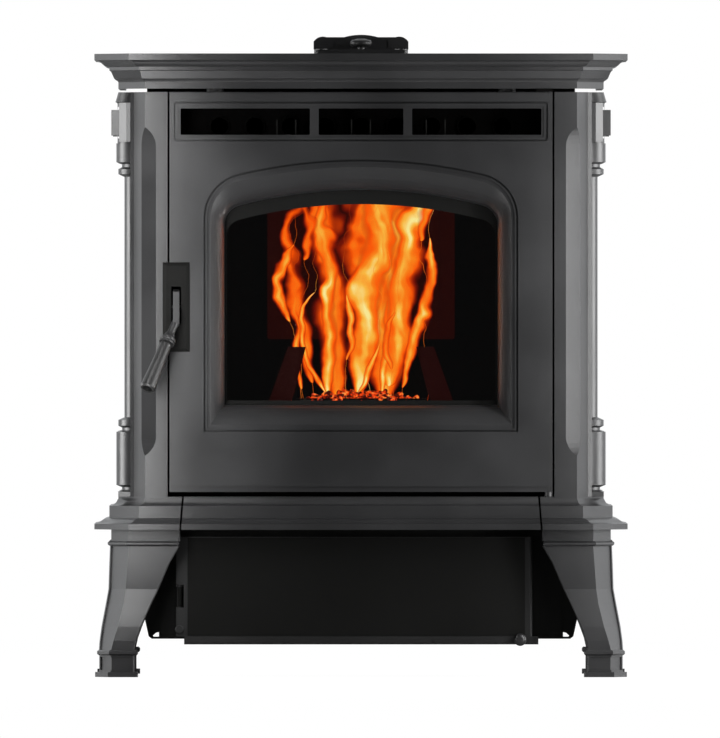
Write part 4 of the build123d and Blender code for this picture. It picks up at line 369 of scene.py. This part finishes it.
# %% Dress the frame's pieces
for entry in frame["record"]["subparts"]:
    piece = frame["nodes"][entry["node"]]
    piece.data.materials.clear()
    # The back panels take the copy with painted firelight.
    finish = painted_firelight_iron if entry["node"] == "back_panels" else finishes[entry["material_slot"]]
    piece.data.materials.append(finish)
print("dressed", len(frame["nodes"]), "pieces with", len(finishes), "finishes")

# %% [markdown]
# ## Fire
# Flames have no surface, so they are shown as thin curtains that hang in the heat: grids bent into
# shallow curves, whose glow and transparency are drawn by a few leaning tongues, frayed by noise. Three
# curtains at different depths overlap and give the fire its body from any side.

# %% Flame tongues
pot_low, pot_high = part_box("burn_pot")
pot_x, pot_y = (pot_low.x + pot_high.x) / 2, (pot_low.y + pot_high.y) / 2
pot_top = pot_high.z

# Each tongue: foot to the right of the pot's middle, foot above its rim, height, lean at the tip,
# swing of its belly, half width, and heat.
back_tongues = [
    (-0.030, 0.000, 0.40, -0.030, 0.000, 0.040, 0.72), (0.030, 0.000, 0.42, 0.030, 0.000, 0.052, 0.85),
    (0.010, 0.110, 0.32, 0.010, 0.000, 0.050, 0.85),
]
middle_tongues = [
    (-0.043, 0.004, 0.42, -0.020, 0.006, 0.019, 1.10), (-0.002, 0.006, 0.34, 0.050, -0.008, 0.033, 1.05),
    (0.036, 0.016, 0.37, 0.036, 0.012, 0.033, 1.00), (0.027, 0.008, 0.12, 0.013, 0.000, 0.009, 0.85),
    (-0.075, 0.012, 0.12, -0.012, -0.006, 0.008, 0.75), (-0.062, 0.020, 0.26, -0.030, -0.012, 0.014, 0.70),
]
front_tongues = [
    (0.052, 0.014, 0.195, 0.047, 0.008, 0.012, 0.90), (-0.045, 0.008, 0.13, -0.020, -0.022, 0.007, 0.85),
    (-0.090, 0.100, 0.10, -0.004, -0.020, 0.011, 0.80), (-0.019, 0.050, 0.085, 0.000, 0.004, 0.007, 0.85),
    (-0.002, 0.006, 0.065, 0.028, 0.004, 0.007, 0.95), (0.040, 0.038, 0.075, 0.004, -0.004, 0.007, 0.85),
    (-0.078, 0.180, 0.13, 0.012, 0.000, 0.012, 0.75), (0.086, 0.205, 0.10, 0.002, 0.004, 0.012, 0.75),
]


def heat_group(name, seed, tongues):
    """Heat of a flame, 0 to 1: the hottest of its tongues at each place, frayed and streaked."""
    group = bpy.data.node_groups.new(name, "ShaderNodeTree")
    group.interface.new_socket("Heat", in_out="OUTPUT", socket_type="NodeSocketFloat")
    nodes, join = group.nodes, group.links.new
    made = nodes.new("NodeGroupOutput")

    def maths(operation, *values):
        node = nodes.new("ShaderNodeMath")
        node.operation = operation
        for index, value in enumerate(values):
            if isinstance(value, (int, float)):
                node.inputs[index].default_value = value
            else:
                join(value, node.inputs[index])
        return node.outputs["Value"]

    def noise(vector, scale, detail):
        texture = nodes.new("ShaderNodeTexNoise")
        texture.noise_dimensions = "4D"
        texture.inputs["W"].default_value = seed
        texture.inputs["Scale"].default_value = scale
        texture.inputs["Detail"].default_value = detail
        join(vector, texture.inputs["Vector"])
        return texture.outputs["Fac"]

    place = nodes.new("ShaderNodeTexCoord").outputs["Object"]
    split = nodes.new("ShaderNodeSeparateXYZ")
    join(place, split.inputs["Vector"])
    x = maths("SUBTRACT", split.outputs["X"], pot_x)
    z = maths("SUBTRACT", split.outputs["Z"], pot_top)
    sway_size = maths("MULTIPLY_ADD", z, 0.34, 0.012)
    sway = maths("MULTIPLY", maths("SUBTRACT", noise(place, 16, 2), 0.5), sway_size)
    fray = maths("MULTIPLY", maths("SUBTRACT", noise(place, 48, 1.5), 0.5), 0.008)
    x = maths("ADD", x, maths("ADD", sway, fray))
    hottest = 0.0
    for foot, rise, height, lean, swing, half, heat in tongues:
        up = maths("DIVIDE", maths("SUBTRACT", z, rise), height)
        up = maths("MINIMUM", maths("MAXIMUM", up, 0.0), 1.0)
        belly = maths("MULTIPLY", maths("SINE", maths("MULTIPLY", up, math.pi)), swing)
        middle = maths("ADD", maths("MULTIPLY_ADD", up, lean, foot), belly)
        taper = maths("POWER", maths("SUBTRACT", 1.0, up), 0.5)
        width = maths("MULTIPLY", maths("POWER", up, 0.42), taper)
        width = maths("MULTIPLY_ADD", width, 1.45 * half, 0.0002)
        off = maths("DIVIDE", maths("ABSOLUTE", maths("SUBTRACT", x, middle)), width)
        body = maths("MULTIPLY", maths("SUBTRACT", 1.0, maths("POWER", off, 1.6)), heat)
        hottest = maths("MAXIMUM", body, hottest)
    seat = nodes.new("ShaderNodeCombineXYZ")
    join(x, seat.inputs["X"])
    join(split.outputs["Y"], seat.inputs["Y"])
    join(maths("MULTIPLY", z, 0.16), seat.inputs["Z"])
    streak = maths("MULTIPLY_ADD", noise(seat.outputs["Vector"], 62, 2), 1.5, 0.08)
    lick = maths("MULTIPLY_ADD", noise(place, 26, 2), 1.5, 0.22)
    core = maths("POWER", maths("MAXIMUM", hottest, 0.0), 1.3)
    heat = maths("MULTIPLY", maths("MULTIPLY", core, streak), lick)
    heat = maths("MULTIPLY", heat, maths("MULTIPLY_ADD", z, -0.9, 1.12))
    join(maths("MINIMUM", maths("MAXIMUM", heat, 0.0), 1.0), made.inputs["Heat"])
    return group


def flame_finish(name, heat_map):
    """A glowing, partly clear material, coloured by heat."""
    fire = bpy.data.materials.new(name)
    fire.use_nodes = True
    nodes, join = fire.node_tree.nodes, fire.node_tree.links.new
    shader = nodes["Principled BSDF"]
    shader.inputs["Base Color"].default_value = (0, 0, 0, 1)
    shader.inputs["Roughness"].default_value = 1
    shader.inputs["Specular IOR Level"].default_value = 0
    heat = nodes.new("ShaderNodeGroup")
    heat.node_tree = heat_map
    ramp = nodes.new("ShaderNodeValToRGB")
    stops = [
        (0.0, (0.06, 0.0, 0.0)), (0.16, (0.45, 0.015, 0.0)), (0.36, (1.0, 0.09, 0.0)),
        (0.60, (1.0, 0.24, 0.01)), (0.80, (1.0, 0.52, 0.06)), (1.0, (1.0, 0.86, 0.32)),
    ]
    ramp.color_ramp.elements[0].position = stops[0][0]
    ramp.color_ramp.elements[0].color = (*stops[0][1], 1)
    ramp.color_ramp.elements[1].position = stops[-1][0]
    ramp.color_ramp.elements[1].color = (*stops[-1][1], 1)
    for position, colour in stops[1:-1]:
        ramp.color_ramp.elements.new(position).color = (*colour, 1)
    join(heat.outputs["Heat"], ramp.inputs["Fac"])
    join(ramp.outputs["Color"], shader.inputs["Emission Color"])
    shader.inputs["Emission Strength"].default_value = 1.0
    clear = nodes.new("ShaderNodeMapRange")
    clear.inputs["From Min"].default_value = 0.02
    clear.inputs["From Max"].default_value = 0.42
    join(heat.outputs["Heat"], clear.inputs["Value"])
    join(clear.outputs["Result"], shader.inputs["Alpha"])
    return fire


# %% Flame curtains
flame_height = 0.29
flame_half = 0.14
flame_foot = 0.012


def flame_curtain(name, depth, bow, finish):
    """A thin upright grid, bowed towards the glass, that carries one layer of the fire."""
    bpy.ops.object.select_all(action="DESELECT")
    place = (pot_x, depth, pot_top - flame_foot + flame_height / 2)
    bpy.ops.mesh.primitive_grid_add(
        x_subdivisions=24, y_subdivisions=24, size=1, location=place, rotation=(math.pi / 2, 0, 0)
    )
    curtain = bpy.context.object
    curtain.name = name
    curtain.scale = (flame_half * 2, flame_height, 1)
    bpy.ops.object.transform_apply(location=True, rotation=True, scale=True)
    for vertex in curtain.data.vertices:
        across = (vertex.co.x - pot_x) / flame_half
        up = (vertex.co.z - pot_top) / flame_height
        vertex.co.y += bow * across * across + 0.006 * math.sin(9 * across + 5 * up)
    bpy.ops.object.shade_smooth()
    curtain.data.materials.append(finish)
    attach(curtain, "stove_body")


layers = [
    ("front", pot_y - 0.022, 0.02, 3.1, front_tongues), ("middle", pot_y, 0.012, 8.6, middle_tongues),
    ("back", pot_y + 0.024, -0.01, 5.3, back_tongues),
]
for layer, depth, bow, seed, tongues in layers:
    glow = flame_finish("flame_glow_" + layer, heat_group("flame_heat_" + layer, seed, tongues))
    flame_curtain("flame_" + layer, depth, bow, glow)
print("flames from", round(pot_top, 3), "to", round(pot_top + flame_height, 3))

# %% [markdown]
# The pot is heaped with burning wood pellets. One pellet is modelled, then copied over the heap.

# %% Ember bed
def ember_finish():
    """Charred wood with glowing cracks: noise decides what is ash, coal or ember."""
    coal = bpy.data.materials.new("ember")
    coal.use_nodes = True
    nodes, join = coal.node_tree.nodes, coal.node_tree.links.new
    shader = nodes["Principled BSDF"]
    shader.inputs["Roughness"].default_value = 0.9
    shader.inputs["Base Color"].default_value = (0.012, 0.009, 0.008, 1)
    place = nodes.new("ShaderNodeTexCoord")
    patch = nodes.new("ShaderNodeTexNoise")
    patch.inputs["Scale"].default_value = 130
    patch.inputs["Detail"].default_value = 4
    ramp = nodes.new("ShaderNodeValToRGB")
    ramp.color_ramp.elements[0].position = 0.46
    ramp.color_ramp.elements[0].color = (0.05, 0.001, 0.0, 1)
    ramp.color_ramp.elements[1].position = 0.70
    ramp.color_ramp.elements[1].color = (1.0, 0.42, 0.08, 1)
    ramp.color_ramp.elements.new(0.56).color = (0.9, 0.05, 0.0, 1)
    join(place.outputs["Object"], patch.inputs["Vector"])
    join(patch.outputs["Fac"], ramp.inputs["Fac"])
    join(ramp.outputs["Color"], shader.inputs["Emission Color"])
    shader.inputs["Emission Strength"].default_value = 1.0
    return coal


pellet_radius, pellet_length, pellet_bevel = 0.0032, 0.015, 0.0007
pellet_copies = 110
heap_half_x, heap_half_y, heap_height, heap_sunk = 0.070, 0.042, 0.017, 0.007

bpy.ops.object.select_all(action="DESELECT")
bpy.ops.mesh.primitive_cylinder_add(
    vertices=10, radius=pellet_radius, depth=pellet_length, location=(0, 0, 0)
)
pellet = bpy.context.object
pellet.name = "ember_bed"
bpy.ops.object.mode_set(mode="EDIT")
bpy.ops.mesh.select_all(action="SELECT")
bpy.ops.mesh.bevel(offset=pellet_bevel, segments=2, affect="EDGES")
bpy.ops.object.mode_set(mode="OBJECT")
random.seed(11)
pellets = [pellet]
for _ in range(pellet_copies):
    copy = pellet.copy()
    copy.data = pellet.data.copy()
    bpy.context.collection.objects.link(copy)
    across, along = random.uniform(-1, 1), random.uniform(-1, 1)
    crown = heap_height * (1 - 0.6 * across * across - 0.3 * along * along)
    copy.location = (
        pot_x + across * heap_half_x,
        pot_y + along * heap_half_y,
        pot_top - heap_sunk + crown * random.uniform(0.2, 1),
    )
    copy.rotation_euler = (
        math.pi / 2 + random.uniform(-0.5, 0.5),
        random.uniform(-0.4, 0.4),
        random.uniform(0, math.pi),
    )
    pellets.append(copy)
pellet.location = (pot_x, pot_y, pot_top)
pellet.rotation_euler = (math.pi / 2, 0, 0.6)
bpy.ops.object.select_all(action="DESELECT")
for piece in pellets:
    piece.select_set(True)
bpy.context.view_layer.objects.active = pellet
bpy.ops.object.join()
bpy.ops.object.transform_apply(location=True, rotation=True, scale=True)
bpy.ops.object.shade_smooth_by_angle(angle=math.radians(40))
pellet.data.materials.append(ember_finish())
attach(pellet, "stove_body")
print("embers", len(pellets))

# %% [markdown]
# ## Painted shade pad
# A thin dark pad stands inside the rear cover, behind its air slots on the fan's side. The photograph
# doesn't show one. It is assumed, because without it the white backdrop shines through the slots and
# the door's side gap.

# %% Painted shade pad
# The pad is a dark sheet standing where there is only shade inside the casing: painted shade.
cover_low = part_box("rear_cover")[0]
pad_x, pad_z = 0.2305, 0.306
pad_width, pad_thickness, pad_height = 0.055, 0.0012, 0.112
pad_set_in, pad_bevel = 0.0016, 0.0004
bpy.ops.object.select_all(action="DESELECT")
bpy.ops.mesh.primitive_cube_add(size=1, location=(pad_x, cover_low.y - pad_set_in, pad_z))
pad = bpy.context.object
pad.name = "painted_shade_pad"
pad.scale = (pad_width, pad_thickness, pad_height)
bpy.ops.object.transform_apply(location=True, scale=True)
bpy.ops.object.mode_set(mode="EDIT")
bpy.ops.mesh.select_all(action="SELECT")
bpy.ops.mesh.bevel(offset=pad_bevel, segments=2, profile=0.0, affect="EDGES")
bpy.ops.object.mode_set(mode="OBJECT")
pad.data.materials.append(finishes["fire_iron"])
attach(pad, "stove_body")
